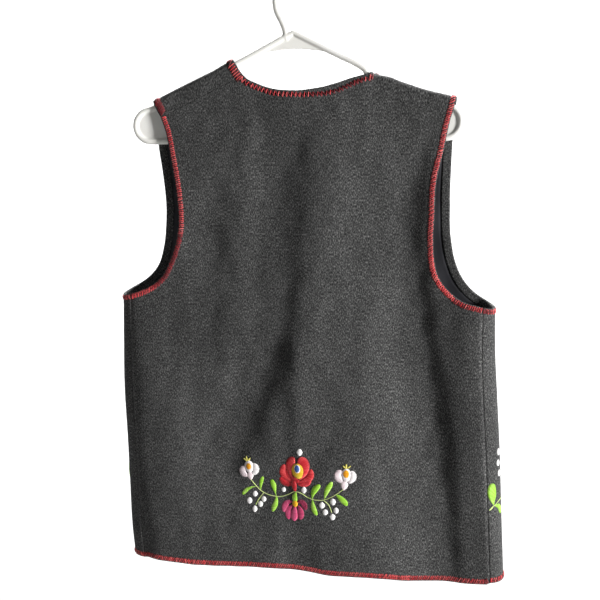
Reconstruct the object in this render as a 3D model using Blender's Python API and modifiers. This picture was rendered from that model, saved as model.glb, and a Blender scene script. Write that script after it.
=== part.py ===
"""Embroidered folk vest of black boiled wool, hung on a moulded plastic hanger.

The vest is three cut panels of felt: a back and two fronts that meet edge to edge down the
middle and wrap round the sides to seams just behind the side edges.  Each panel is a grid
laid over its own flat pattern (girth, height), hung in space by one rule, and given the
felt's thickness.  The hanger is one moulding: a rim of rod bent into a triangle, webs in its
peak and its two ends, and a hook.  The origin is where a rail touches inside the hook.  The
wearer's front faces -Y and the wearer's left is +X.
"""
import math

import bmesh
import bpy
import numpy as np

# Felt
FELT = 0.0020
SEAM_GAP = 0.0003
RIDGE_RADIUS = 0.0052        # inner bend of the felt over the hanger's arm
QUARTER_TURN = 0.5 * math.pi

# Grid cells of each panel: across, then down the wrap, the armhole and the body
BACK_CELLS = {"shoulder": 8, "neck": 14, "armhole": 19, "body": 12}
FRONT_CELLS = {"across": 20, "wrap": 6, "armhole": 23, "body": 12}
GIRTH_WEIGHT = {"back": 0.45, "front": 0.9}     # how much girth counts in spacing the rows
SIDE_LEAN = 0.6              # how much closer a front's columns stand round the side
CURL_ROWS = 4                # fine rows where the felt bends over the shoulder line
CURL_STEP = 0.0028
CURL_SETTLE = 0.0150         # depth below the shoulder line where the bend is over

# Top line of the shoulders, outside of the felt, from the wearer's right to the left.
# Inside the neck it goes on along the hanger's arms, where it only guides the felt's bend.
RIDGE_TABLE = [
    # name            x        height
    ("right tip", -0.1995, -0.1590),
    ("right outer", -0.1613, -0.1493),
    ("right middle", -0.1312, -0.1390),
    ("right inner", -0.1190, -0.1336),
    ("right neck", -0.0984, -0.1294),
    ("right arm", -0.0900, -0.1170),
    ("peak", 0.0000, -0.0715),
    ("left neck", 0.0793, -0.1090),
    ("left inner", 0.1000, -0.1204),
    ("left middle", 0.1327, -0.1349),
    ("left outer", 0.1592, -0.1470),
    ("left tip", 0.1813, -0.1575),
]

# How far the felt stands from the hanger's plane, by depth below the shoulder line
HANG_TABLE = [
    # drop   side radius  crown at the middle
    (0.000, 0.0052, 0.000),
    (0.050, 0.0080, 0.002),
    (0.110, 0.0130, 0.005),
    (0.190, 0.0180, 0.008),
    (0.260, 0.0216, 0.009),
    (0.300, 0.0232, 0.010),
    (0.620, 0.0240, 0.012),
]

# Middle and half width of the vest at each height
GIRTH_TABLE = [
    # height  middle x  half width
    (-0.080, -0.0098, 0.2370),
    (-0.140, -0.0098, 0.2370),
    (-0.200, -0.0098, 0.2370),
    (-0.300, -0.0110, 0.2370),
    (-0.415, -0.0125, 0.2372),
    (-0.460, -0.0125, 0.2382),
    (-0.525, -0.0142, 0.2408),
    (-0.600, -0.0182, 0.2422),
    (-0.650, -0.0202, 0.2428),
    (-0.730, -0.0238, 0.2436),
    (-0.765, -0.0266, 0.2429),
]

# Edge of the back round each armhole, from the seam on the shoulder to the side seam
BACK_ARMHOLE = {
    "left": [
        # girth   height
        (0.1790, -0.1786),
        (0.1725, -0.1960),
        (0.1674, -0.2190),
        (0.1583, -0.2690),
        (0.1556, -0.3010),
        (0.1573, -0.3270),
        (0.1690, -0.3600),
        (0.1832, -0.3825),
        (0.2010, -0.3948),
        (None, -0.4025),
    ],
    "right": [
        (0.1900, -0.1610),
        (0.1828, -0.1850),
        (0.1757, -0.2190),
        (0.1661, -0.2650),
        (0.1645, -0.3010),
        (0.1633, -0.3300),
        (0.1650, -0.3570),
        (0.1692, -0.3740),
        (0.1790, -0.3890),
        (0.2020, -0.4061),
        (None, -0.4117),
    ],
}

# Edge of each front round its armhole, from the shoulder line to the side seam
FRONT_ARMHOLE = {
    "left": [
        (0.1908, -0.1612),
        (0.1880, -0.2150),
        (0.1847, -0.2500),
        (0.1828, -0.2850),
        (0.1843, -0.3150),
        (0.1894, -0.3450),
        (0.1972, -0.3671),
        (0.2080, -0.3806),
        (0.2276, -0.3946),
        (0.2426, -0.4016),
        (0.2620, -0.4048),
        (None, -0.4025),
    ],
    "right": [
        (0.1900, -0.1610),
        (0.1858, -0.2110),
        (0.1843, -0.2450),
        (0.1834, -0.2820),
        (0.1852, -0.3320),
        (0.1906, -0.3600),
        (0.1994, -0.3800),
        (0.2122, -0.3955),
        (0.2420, -0.4118),
        (0.2620, -0.4138),
        (None, -0.4117),
    ],
}

# Back neckline between the two shoulders
NECKLINE = [
    # x       height
    (0.0560, -0.1337),
    (0.0459, -0.1384),
    (0.0258, -0.1457),
    (-0.0043, -0.1489),
    (-0.0341, -0.1458),
    (-0.0537, -0.1410),
    (-0.0733, -0.1347),
    (-0.0860, -0.1317),
]

# Neck edge of the fronts, then the straight edge down the middle
FRONT_EDGE = [
    # drop below the shoulder line at the neck, distance from the middle
    (0.0400, 0.0800),
    (0.1000, 0.0640),
    (0.1700, 0.0400),
    (0.2200, 0.0200),
    (0.2500, 0.0085),
    (0.2750, 0.0055),
    (0.4300, 0.0060),
]
HEM_OPENING = 0.0080         # from the middle to a front's edge, at the hem

# Seams on the shoulders from tip to neck; the right one lies on the shoulder line
SHOULDER_SEAM = {
    "left": ((0.1690, -0.1786), (0.0622, -0.1284)),
    "right": ((-0.1995, -0.1610), (-0.0984, -0.1326)),
}
SHOULDER_TIP = {"left": 0.1813, "right": -0.1995}
NECK_CORNER = {"left": (0.0765, -0.1108), "right": (-0.0984, -0.1326)}
SIDE_SEAM_TURN = math.radians(18)

HEM_TABLE = [
    # side     x       height
    (0.2300, -0.7590),
    (0.1700, -0.7578),
    (0.1250, -0.7582),
    (0.0700, -0.7566),
    (0.0200, -0.7542),
    (-0.0200, -0.7558),
    (-0.0500, -0.7578),
    (-0.0800, -0.7578),
    (-0.1200, -0.7595),
    (-0.1600, -0.7632),
    (-0.2000, -0.7634),
    (-0.2420, -0.7620),
    (-0.2750, -0.7593),
]

# Largest folds, as troughs in the hanging felt.  Each has a steep wall that faces +X, a
# trough behind it, and a gentler wall back up.  Near and far are the widths of the steep
# wall on its two sides, reach is the trough's width, return the gentle wall's, and the line
# is where the steep wall runs, from its top down.
FOLDS = [
    {
        "name": "centre",
        "face": "back",
        "near": 0.0110,
        "far": 0.0130,
        "reach": 0.065,
        "return": 0.0180,
        "line": [
            # height  x        depth
            (-0.135, -0.0150, 0.0000),
            (-0.165, -0.0155, 0.0020),
            (-0.206, -0.0155, 0.0060),
            (-0.282, -0.0135, 0.0090),
            (-0.356, -0.0085, 0.0090),
            (-0.430, -0.0040, 0.0090),
            (-0.493, 0.0125, 0.0090),
            (-0.538, 0.0295, 0.0090),
            (-0.571, 0.0410, 0.0085),
            (-0.610, 0.0600, 0.0065),
            (-0.663, 0.0715, 0.0055),
            (-0.740, 0.0650, 0.0005),
        ],
    },
    {
        "name": "left",
        "face": "back",
        "near": 0.0450,
        "far": 0.0070,
        "reach": 0.038,
        "return": 0.0165,
        "line": [
            # height  x        depth
            (-0.165, 0.0735, 0.0000),
            (-0.208, 0.0715, 0.0015),
            (-0.320, 0.0880, 0.0070),
            (-0.445, 0.0930, 0.0075),
            (-0.515, 0.0975, 0.0075),
            (-0.600, 0.0975, 0.0050),
            (-0.640, 0.0970, 0.0000),
        ],
    },
    {
        "name": "right",
        "face": "back",
        "near": 0.0095,
        "far": 0.0105,
        "reach": 0.088,
        "return": 0.0235,
        "line": [
            # height  x        depth
            (-0.155, -0.1765, 0.0000),
            (-0.199, -0.1725, 0.0020),
            (-0.215, -0.1695, 0.0030),
            (-0.258, -0.1635, 0.0085),
            (-0.330, -0.1595, 0.0095),
            (-0.390, -0.1675, 0.0095),
            (-0.505, -0.1860, 0.0095),
            (-0.560, -0.1965, 0.0095),
            (-0.635, -0.2030, 0.0095),
            (-0.740, -0.2130, 0.0070),
        ],
    },
    {
        "name": "right edge",
        "face": "back",
        "near": 0.0115,
        "far": 0.0300,
        "reach": 0.085,
        "return": 0.0165,
        "line": [
            # height  x        depth
            (-0.340, -0.2195, 0.0000),
            (-0.400, -0.2080, 0.0085),
            (-0.500, -0.2120, 0.0090),
            (-0.600, -0.2235, 0.0090),
            (-0.740, -0.2490, 0.0070),
        ],
    },
    {
        "name": "left edge",
        "face": "back",
        "near": 0.0115,
        "far": 0.0060,
        "reach": 0.900,
        "return": 0.0200,
        "line": [
            # height  x        depth
            (-0.380, 0.2060, 0.0000),
            (-0.470, 0.2095, 0.0055),
            (-0.540, 0.2070, 0.0070),
            (-0.620, 0.2070, 0.0080),
            (-0.740, 0.1900, 0.0080),
        ],
    },
    {
        "name": "left low",
        "face": "back",
        "near": 0.0115,
        "far": 0.0085,
        "reach": 0.032,
        "return": 0.0140,
        "line": [
            # height  x        depth
            (-0.340, 0.1430, 0.0000),
            (-0.376, 0.1430, 0.0030),
            (-0.446, 0.1365, 0.0040),
            (-0.520, 0.1330, 0.0020),
            (-0.560, 0.1330, 0.0000),
        ],
    },
    {
        "name": "right low",
        "face": "back",
        "near": 0.0160,
        "far": 0.0080,
        "reach": 0.041,
        "return": 0.0145,
        "line": [
            # height  x        depth
            (-0.370, -0.0855, 0.0000),
            (-0.400, -0.0855, 0.0035),
            (-0.465, -0.0810, 0.0045),
            (-0.528, -0.0635, 0.0030),
            (-0.579, -0.0535, 0.0030),
            (-0.618, -0.0345, 0.0030),
            (-0.740, -0.0310, 0.0045),
        ],
    },
    {
        "name": "centre low",
        "face": "back",
        "near": 0.0060,
        "far": 0.0125,
        "reach": 0.082,
        "return": 0.0245,
        "line": [
            # height  x        depth
            (-0.450, -0.0030, 0.0000),
            (-0.480, -0.0030, 0.0040),
            (-0.530, -0.0035, 0.0030),
            (-0.594, -0.0050, 0.0055),
            (-0.660, -0.0060, 0.0055),
            (-0.700, -0.0060, 0.0000),
        ],
    },
    {
        "name": "foot",
        "face": "back",
        "near": 0.0450,
        "far": 0.0060,
        "reach": 0.041,
        "return": 0.0215,
        "line": [
            # height  x        depth
            (-0.630, 0.0420, 0.0000),
            (-0.660, 0.0420, 0.0050),
            (-0.715, 0.0340, 0.0050),
            (-0.745, 0.0475, 0.0040),
        ],
    },
    {
        "name": "front left",
        "face": "front",
        "near": 0.0120,
        "far": 0.0100,
        "reach": 0.036,
        "return": 0.0150,
        "line": [
            # height  x        depth
            (-0.190, 0.1340, 0.0000),
            (-0.330, 0.1310, 0.0060),
            (-0.500, 0.1340, 0.0070),
            (-0.680, 0.1480, 0.0060),
            (-0.780, 0.1570, 0.0030),
        ],
    },
    {
        "name": "front left inner",
        "face": "front",
        "near": 0.0120,
        "far": 0.0100,
        "reach": 0.040,
        "return": 0.0180,
        "line": [
            # height  x        depth
            (-0.300, 0.0500, 0.0000),
            (-0.450, 0.0460, 0.0045),
            (-0.620, 0.0380, 0.0045),
            (-0.700, 0.0340, 0.0000),
        ],
    },
    {
        "name": "front right",
        "face": "front",
        "near": 0.0120,
        "far": 0.0100,
        "reach": 0.036,
        "return": 0.0150,
        "line": [
            # height  x        depth
            (-0.190, -0.1660, 0.0000),
            (-0.330, -0.1620, 0.0070),
            (-0.500, -0.1720, 0.0080),
            (-0.680, -0.1880, 0.0070),
            (-0.780, -0.2000, 0.0030),
        ],
    },
    {
        "name": "front right inner",
        "face": "front",
        "near": 0.0120,
        "far": 0.0100,
        "reach": 0.040,
        "return": 0.0180,
        "line": [
            # height  x        depth
            (-0.320, -0.0960, 0.0000),
            (-0.470, -0.0940, 0.0045),
            (-0.640, -0.0920, 0.0045),
            (-0.780, -0.0900, 0.0020),
        ],
    },
]

# Hanger
ROD = 0.0040                 # radius of the moulded rim
HOOK_ROD = 0.0041
HOOK_RADIUS = 0.0225
HOOK_END_TURN = math.radians(212)
BEND_RADIUS = 0.0195
BEND_MIDDLE = (0.1855, -0.1880)
ARM_ROUTE = [
    # x        height
    (0.0000, -0.0777),
    (0.0270, -0.0913),
    (0.0540, -0.1050),
    (0.0808, -0.1185),
    (0.0888, -0.1243),
    (0.0925, -0.1330),
    (0.0978, -0.1408),
    (0.1080, -0.1448),
]
STEM_ROUTE = [
    (0.0090, -0.0840),
    (0.0105, -0.0740),
    (0.0150, -0.0630),
    (0.0205, -0.0520),
    (0.0225, -0.0400),
    (0.0225, -0.0290),
]
WEB = 0.0028
WEB_REACH = 0.1480
PEAK_WEB_HALF = 0.0560
PEAK_WEB_FOOT = -0.0975
PEAK_WEB_SINK = 0.0011       # how far the web's top edges lie below the arms' axes
BEND_STEPS = 12
HOOK_STEPS = 14

MATERIALS = {
    "felt": ((0.048, 0.047, 0.049, 1.0), 0.95),
    "hanger_plastic": ((0.86, 0.84, 0.78, 1.0), 0.38),
}


def clear_scene():
    for thing in list(bpy.data.objects):
        bpy.data.objects.remove(thing, do_unlink=True)


def make_material(name):
    colour, roughness = MATERIALS[name]
    material = bpy.data.materials.new(name)
    material.use_nodes = True
    shader = material.node_tree.nodes["Principled BSDF"]
    shader.inputs["Base Color"].default_value = colour
    shader.inputs["Roughness"].default_value = roughness
    shader.inputs["Metallic"].default_value = 0.0
    return material


def through(keys, values, at):
    """Smooth curve through (keys, values): cubic pieces with the neighbours' mean slope."""
    keys = np.asarray(keys, dtype=float)
    values = np.asarray(values, dtype=float)
    steps = np.diff(keys)
    slopes = np.diff(values) / steps
    tangents = np.empty_like(values)
    tangents[0] = slopes[0]
    tangents[-1] = slopes[-1]
    inner = slopes[:-1] * steps[1:] + slopes[1:] * steps[:-1]
    tangents[1:-1] = inner / (steps[1:] + steps[:-1])
    at = np.clip(at, keys[0], keys[-1])
    piece = np.clip(np.searchsorted(keys, at, side="right") - 1, 0, len(steps) - 1)
    step = steps[piece]
    t = (at - keys[piece]) / step
    rest = 1.0 - t
    start = values[piece] * (1.0 + 2.0 * t) + tangents[piece] * step * t
    end = values[piece + 1] * (1.0 + 2.0 * rest) - tangents[piece + 1] * step * rest
    return start * rest**2 + end * t**2


def column(table, index):
    return [row[index] for row in table]


def descending(table, key, value, at):
    """Read a table whose key falls from row to row."""
    return through(column(table, key)[::-1], column(table, value)[::-1], at)


def ridge_height(x):
    """Height of the felt's inner face along the shoulder line."""
    rows = sorted(RIDGE_TABLE, key=lambda row: row[1])
    return np.interp(x, column(rows, 1), column(rows, 2)) - FELT


def middle_x(height):
    return descending(GIRTH_TABLE, 0, 1, height)


def half_width(height):
    return descending(GIRTH_TABLE, 0, 2, height)


def side_radius(drop):
    return through(column(HANG_TABLE, 0), column(HANG_TABLE, 1), drop)


def crown(drop):
    return through(column(HANG_TABLE, 0), column(HANG_TABLE, 2), drop)


def seam_girth(face, height):
    """Distance from a panel's middle to the side seam, measured along the felt."""
    radius = side_radius(ridge_height(0.2) - height)
    flat = half_width(height) - radius
    turn = SIDE_SEAM_TURN if face == "back" else math.pi - SIDE_SEAM_TURN
    return flat + radius * turn


def fold_depth(face, x, height):
    """Sum of the troughs at a place: down over the steep wall, and up again past the reach."""
    total = np.zeros_like(x)
    for fold in FOLDS:
        if fold["face"] != face:
            continue
        near, far = fold["near"], fold["far"]
        u = x - descending(fold["line"], 0, 1, height)
        before = near * np.tanh(np.minimum(u, 0.0) / near)
        after = far * np.tanh(np.maximum(u, 0.0) / far)
        wall = (near + before + after) / (near + far)
        back_up = 0.5 * (1.0 + np.tanh((u - fold["reach"]) / fold["return"]))
        depth = np.maximum(descending(fold["line"], 0, 2, height), 0.0)
        total += depth * (wall - back_up)
    return total


def hang(face, girth, rise):
    """Place pattern points: girth from the panel's middle (+X side positive), and height.

    Above the shoulder line the pattern folds over the hanger's arm and runs down behind it.
    A panel's folds die out round the side as the cosine of its turn.
    """
    outward = 1.0 if face == "back" else -1.0
    side = np.sign(girth)
    reach = np.abs(girth)
    ridge = ridge_height(middle_x(rise) + girth)
    curl = RIDGE_RADIUS * (QUARTER_TURN - 1.0)
    signed = ridge - rise
    length = np.abs(signed) + curl * np.clip(np.abs(signed) / CURL_SETTLE, 0.0, 1.0)
    angle = np.minimum(length / RIDGE_RADIUS, QUARTER_TURN)
    below = np.maximum(length - RIDGE_RADIUS * QUARTER_TURN, 0.0)
    height = ridge - RIDGE_RADIUS * (1.0 - np.cos(angle)) - below
    drop = ridge - height

    radius = side_radius(drop)
    flat = half_width(height) - radius
    turn = np.clip((reach - flat) / radius, 0.0, None)
    x = middle_x(height) + side * (np.minimum(reach, flat) + radius * np.sin(turn))
    swell = crown(drop) * np.clip(1.0 - (reach / flat) ** 2, 0.0, 1.0)
    depth = radius * np.cos(turn) + swell
    on_back = np.where(signed >= 0.0, face == "back", face != "back")
    back_fold, front_fold = fold_depth("back", x, height), fold_depth("front", x, height)
    near, far = np.where(on_back, (back_fold, front_fold), (front_fold, back_fold))
    facing = np.cos(turn)
    depth = depth - near * np.maximum(facing, 0.0) + far * np.maximum(-facing, 0.0)
    depth = depth * np.sin(angle)
    y = outward * np.where(signed >= 0.0, 1.0, -1.0) * depth
    return np.stack([x, y, height], axis=-1)


def along(points, share, girth_weight=1.0):
    """Points at shares of the way along a route, by its length."""
    points = np.asarray(points, dtype=float)
    steps = np.diff(points, axis=0) * np.array([girth_weight, 1.0])
    lengths = np.linalg.norm(steps, axis=1)
    marks = np.concatenate([[0.0], np.cumsum(lengths)]) / lengths.sum()
    return np.stack([through(marks, points[:, k], share) for k in range(2)], axis=-1)


def shares(count):
    return np.linspace(0.0, 1.0, count + 1)


def side_shares(count):
    """Shares across a front, closer together at its outer end."""
    share = shares(count)
    return share - SIDE_LEAN * share * (1.0 - share)


def curl_shares(route, count):
    """Shares of a route whose first rows are close together, for the shoulder's bend."""
    steps = np.diff(np.asarray(route, dtype=float), axis=0)
    fine = CURL_STEP * np.arange(CURL_ROWS) / np.linalg.norm(steps, axis=1).sum()
    return np.concatenate([fine, fine[-1] + (1.0 - fine[-1]) * shares(count - CURL_ROWS + 1)[1:]])


def joined(*routes):
    """Routes end to end, each after the first without its first point."""
    return np.concatenate([routes[0]] + [route[1:] for route in routes[1:]])


def patch(top, foot, left, right, across):
    """Coons patch in the flat pattern between four edges that meet at their corners."""
    marks = left[:, 1] - left[0, 1] + right[:, 1] - right[0, 1]
    v = marks / marks[-1]
    u = across[None, :, None]
    v = v[:, None, None]
    ruled = (1.0 - v) * top[None] + v * foot[None]
    ruled = ruled + (1.0 - u) * left[:, None] + u * right[:, None]
    corners = (1.0 - u) * (1.0 - v) * top[0] + u * (1.0 - v) * top[-1]
    corners = corners + (1.0 - u) * v * foot[0] + u * v * foot[-1]
    return ruled - corners


def armhole_route(face, side):
    """An armhole edge from the shoulder down to the top of the side seam."""
    table = BACK_ARMHOLE if face == "back" else FRONT_ARMHOLE
    route = []
    for girth, height in table[side]:
        if girth is None:
            girth = seam_girth(face, height) - 0.5 * SEAM_GAP
        route.append((girth, height))
    return route


def hem_height(x):
    return descending(HEM_TABLE, 0, 1, x)


def hem_end(side):
    """Height of the hem at a side seam."""
    x = HEM_TABLE[0][0] if side == "left" else HEM_TABLE[-1][0]
    return float(hem_height(x))


def straight(start, end, share):
    start = np.asarray(start, dtype=float)
    return start + (np.asarray(end) - start) * share[:, None]


def shoulder_seam(side, share):
    """The seam on a shoulder from its tip to the neck, as x and height.

    The left seam lies behind the shoulder line and the right one on it.  Both panels take
    the same corners, so their edges run side by side.
    """
    own = shares(BACK_CELLS["shoulder"])
    seam = straight(*SHOULDER_SEAM[side], own)
    if side == "right":
        seam[:, 1] = ridge_height(seam[:, 0])
    return np.stack([np.interp(share, own, seam[:, k]) for k in range(2)], axis=-1)


def to_girth(points):
    """Turn x into girth from the vest's middle."""
    moved = np.array(points, dtype=float)
    moved[:, 0] -= middle_x(moved[:, 1])
    return moved


def foot_line(left, right, share):
    """The hem between two lower corners, in the pattern."""
    line = straight(left, right, share)
    middle = middle_x(np.full(len(share), HEM_TABLE[0][1]))
    line[1:-1, 1] = hem_height(line[:, 0] + middle)[1:-1]
    return line


def side_edge(face, side):
    """The armhole and then the side seam of a panel, with girths counted to that side."""
    cells = BACK_CELLS if face == "back" else FRONT_CELLS
    route = armhole_route(face, side)
    armhole = along(route, curl_shares(route, cells["armhole"]), GIRTH_WEIGHT[face])
    start = armhole[-1, 1]
    heights = start + (hem_end(side) - start) * shares(cells["body"])
    girths = seam_girth(face, heights) - 0.5 * SEAM_GAP
    return joined(armhole, np.stack([girths, heights], axis=-1))


def back_pattern():
    """The back, from the wearer's left (+) to the right (-)."""
    flip = np.array([-1.0, 1.0])
    left = side_edge("back", "left")
    right = side_edge("back", "right") * flip
    left_seam = to_girth(shoulder_seam("left", shares(BACK_CELLS["shoulder"])))
    right_seam = to_girth(shoulder_seam("right", shares(BACK_CELLS["shoulder"])))[::-1]
    left_seam[:, 1] -= 0.5 * SEAM_GAP
    right_seam[:, 1] -= 0.5 * SEAM_GAP
    neck = np.concatenate([left_seam[-1:], to_girth(NECKLINE), right_seam[:1]])
    neck = neck[::-1]
    neck = along(neck, curl_shares(neck, BACK_CELLS["neck"]))[::-1]
    top = joined(left_seam, neck, right_seam)
    left[0] = top[0]
    right[0] = top[-1]
    across = shares(len(top) - 1)
    return patch(top, foot_line(left[-1], right[-1], across), left, right, across)


def middle_edge(side):
    """The neck edge and the straight middle edge of a front, as girths to that side."""
    x, height = NECK_CORNER[side]
    start = (abs(x - float(middle_x(height))), ridge_height(x))
    route = [start] + [(girth, start[1] - drop) for drop, girth in FRONT_EDGE]
    neck = along(route, curl_shares(route, FRONT_CELLS["armhole"]))
    at = middle_x(HEM_TABLE[0][1]) + (HEM_OPENING if side == "left" else -HEM_OPENING)
    end = (HEM_OPENING, float(hem_height(at)))
    return joined(neck, straight(neck[-1], end, shares(FRONT_CELLS["body"])))


def front_pattern(side):
    """One front, from its armhole to its middle edge.

    The left front is cut longer at the shoulder: there its pattern runs on over the
    shoulder line, down to the seam behind it.
    """
    sign = 1.0 if side == "left" else -1.0
    across = side_shares(FRONT_CELLS["across"])
    seam = shoulder_seam(side, across)
    ridge = ridge_height(seam[:, 0])
    top = to_girth(seam)
    top[:, 0] *= sign
    top[:, 1] = 2.0 * ridge - seam[:, 1] - 0.5 * SEAM_GAP
    outer = side_edge("front", side)
    outer[0, 1] = ridge_height(SHOULDER_TIP[side])
    inner = middle_edge(side)
    if side == "left":
        wrap = shares(FRONT_CELLS["wrap"])
        outer = joined(straight(top[0], outer[0], wrap), outer)
        inner = joined(straight(top[-1], inner[0], wrap), inner)
    outer[0] = top[0]
    inner[0] = top[-1]
    top, outer, inner = (edge * (sign, 1.0) for edge in (top, outer, inner))
    foot = foot_line(outer[-1], inner[-1], across)
    return patch(top, foot, outer, inner, across)


def make_panel(name, face, pattern, flip, collection, material):
    """Lay a grid over a pattern, hang it, and thicken it outwards."""
    rows, columns = pattern.shape[:2]
    bm = bmesh.new()
    bmesh.ops.create_grid(bm, x_segments=columns - 1, y_segments=rows - 1, size=0.5)
    placed = hang(face, pattern[:, :, 0], pattern[:, :, 1])
    for vert in bm.verts:
        across = round((vert.co.x + 0.5) * (columns - 1))
        down = round((0.5 - vert.co.y) * (rows - 1))
        vert.co = placed[down, across]
    if flip:
        bmesh.ops.reverse_faces(bm, faces=bm.faces)
    mesh = bpy.data.meshes.new(name)
    bm.to_mesh(mesh)
    bm.free()
    mesh.shade_smooth()
    panel = bpy.data.objects.new(name, mesh)
    collection.objects.link(panel)
    panel.data.materials.append(material)
    wall = panel.modifiers.new("felt", "SOLIDIFY")
    wall.thickness = FELT
    wall.offset = 1.0
    return panel


def rod(name, points, radius, closed):
    """A round rod along a route in the hanger's plane, as a closed mesh."""
    curve = bpy.data.curves.new(name, "CURVE")
    curve.dimensions = "3D"
    curve.bevel_depth = radius
    curve.bevel_resolution = 3
    curve.use_fill_caps = True
    spline = curve.splines.new("POLY")
    spline.points.add(len(points) - 1)
    for point, (x, height) in zip(spline.points, points):
        point.co = (x, 0.0, height, 1.0)
    spline.use_cyclic_u = closed
    return as_mesh(bpy.data.objects.new(name, curve))


def plate(name, outline):
    """A flat web in the hanger's plane, as a closed mesh."""
    curve = bpy.data.curves.new(name, "CURVE")
    curve.dimensions = "2D"
    curve.fill_mode = "BOTH"
    curve.extrude = 0.5 * WEB
    spline = curve.splines.new("POLY")
    spline.points.add(len(outline) - 1)
    for point, (x, height) in zip(spline.points, outline):
        point.co = (x, height, 0.0, 1.0)
    spline.use_cyclic_u = True
    web = bpy.data.objects.new(name, curve)
    web.rotation_euler = (0.5 * math.pi, 0.0, 0.0)
    return as_mesh(web)


def as_mesh(source):
    """Turn a curve object into a mesh object with welded caps, in world space."""
    bpy.context.scene.collection.objects.link(source)
    bpy.context.view_layer.update()
    evaluated = source.evaluated_get(bpy.context.evaluated_depsgraph_get())
    mesh = bpy.data.meshes.new_from_object(evaluated)
    bm = bmesh.new()
    bm.from_mesh(mesh)
    bmesh.ops.remove_doubles(bm, verts=bm.verts, dist=0.00002)
    bmesh.ops.transform(bm, matrix=source.matrix_world, verts=bm.verts)
    bmesh.ops.recalc_face_normals(bm, faces=bm.faces)
    bm.to_mesh(mesh)
    bm.free()
    name = source.name
    bpy.data.objects.remove(source, do_unlink=True)
    return bpy.data.objects.new(name, mesh)


def arc(middle, radius, start, end, steps):
    turns = start + (end - start) * shares(steps)
    return [(middle[0] + radius * math.cos(a), middle[1] + radius * math.sin(a)) for a in turns]


def rim_route():
    """Closed route of the rim: up one arm, round the end, along the bar and back."""
    end = ARM_ROUTE[-1]
    dx = BEND_MIDDLE[0] - end[0]
    dz = BEND_MIDDLE[1] - end[1]
    reach = math.hypot(dx, dz)
    leave = math.atan2(dz, dx) + math.asin(BEND_RADIUS / reach) + 0.5 * math.pi
    half = ARM_ROUTE + arc(BEND_MIDDLE, BEND_RADIUS, leave, -0.5 * math.pi, BEND_STEPS)
    mirrored = [(-x, height) for x, height in half[:0:-1]]
    return half + mirrored


def end_web_outline(sign):
    """Web that fills one bend of the rim."""
    bend = arc(BEND_MIDDLE, BEND_RADIUS, math.radians(70), -0.5 * math.pi, BEND_STEPS)
    slope = (ARM_ROUTE[-1][1] - bend[0][1]) / (ARM_ROUTE[-1][0] - bend[0][0])
    top = bend[0][1] + slope * (WEB_REACH - bend[0][0])
    outline = [(WEB_REACH, top)] + bend + [(WEB_REACH, bend[-1][1])]
    return [(sign * x, height) for x, height in outline]


def peak_web_outline():
    """Web under the peak, with a flat arched foot."""
    slope = (ARM_ROUTE[2][1] - ARM_ROUTE[0][1]) / ARM_ROUTE[2][0]
    peak = ARM_ROUTE[0][1] - PEAK_WEB_SINK
    side = peak + slope * PEAK_WEB_HALF
    foot = []
    for share in shares(BEND_STEPS):
        x = PEAK_WEB_HALF * (1.0 - 2.0 * share)
        sag = (side - PEAK_WEB_FOOT) * (x / PEAK_WEB_HALF) ** 2
        foot.append((x, PEAK_WEB_FOOT + sag))
    return [(0.0, peak)] + foot


def make_hanger(collection, cutters, material):
    hook_middle = (0.0, ROD - HOOK_RADIUS)
    hook = STEM_ROUTE + arc(hook_middle, HOOK_RADIUS, 0.0, HOOK_END_TURN, HOOK_STEPS)
    hanger = rod("hanger", rim_route(), ROD, True)
    collection.objects.link(hanger)
    hanger.data.materials.append(material)
    pieces = [
        plate("peak_web", peak_web_outline()),
        plate("left_end_web", end_web_outline(1.0)),
        plate("right_end_web", end_web_outline(-1.0)),
        rod("hook_rod", hook, HOOK_ROD, False),
    ]
    for piece in pieces:
        cutters.objects.link(piece)
        piece.hide_render = True
        piece.display_type = "WIRE"
        union = hanger.modifiers.new("join " + piece.name, "BOOLEAN")
        union.operation = "UNION"
        union.solver = "EXACT"
        union.object = piece
    return hanger


def main():
    clear_scene()
    collection = bpy.data.collections.new("embroidered_folk_vest")
    cutters = bpy.data.collections.new("cutters")
    bpy.context.scene.collection.children.link(collection)
    bpy.context.scene.collection.children.link(cutters)
    felt = make_material("felt")
    plastic = make_material("hanger_plastic")
    make_panel("back", "back", back_pattern(), False, collection, felt)
    make_panel("front_left", "front", front_pattern("left"), True, collection, felt)
    make_panel("front_right", "front", front_pattern("right"), False, collection, felt)
    make_hanger(collection, cutters, plastic)


main()
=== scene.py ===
import math
import bpy
import numpy as np
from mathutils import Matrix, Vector


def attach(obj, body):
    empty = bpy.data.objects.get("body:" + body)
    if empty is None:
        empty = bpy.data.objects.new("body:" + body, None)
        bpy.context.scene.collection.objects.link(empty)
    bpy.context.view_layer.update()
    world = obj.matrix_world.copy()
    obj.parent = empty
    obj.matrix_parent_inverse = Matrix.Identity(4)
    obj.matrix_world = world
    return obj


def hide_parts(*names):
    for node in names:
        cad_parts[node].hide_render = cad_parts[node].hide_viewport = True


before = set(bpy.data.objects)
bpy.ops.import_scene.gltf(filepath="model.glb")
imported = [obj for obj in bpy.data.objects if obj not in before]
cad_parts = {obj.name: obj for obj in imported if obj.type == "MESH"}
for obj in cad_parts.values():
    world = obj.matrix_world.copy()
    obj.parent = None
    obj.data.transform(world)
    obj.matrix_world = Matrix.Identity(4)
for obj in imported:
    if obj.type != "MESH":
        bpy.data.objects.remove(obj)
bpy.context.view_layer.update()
print("frame loaded:", sorted(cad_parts))


# camera and light

view = {
    "place": (-0.17324, 1.04329, -0.28117),
    "lookAt": (-0.008, 0.0, -0.409),
    "lens": 50.0,
    "sensor": 36.0,
}


def pointAt(thing, place, target):
    # turns a camera or lamp so that its -Z axis runs from place to target, with +Y up
    thing.location = place
    aim = Vector(target) - Vector(place)
    thing.rotation_euler = aim.to_track_quat("-Z", "Y").to_euler()


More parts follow.
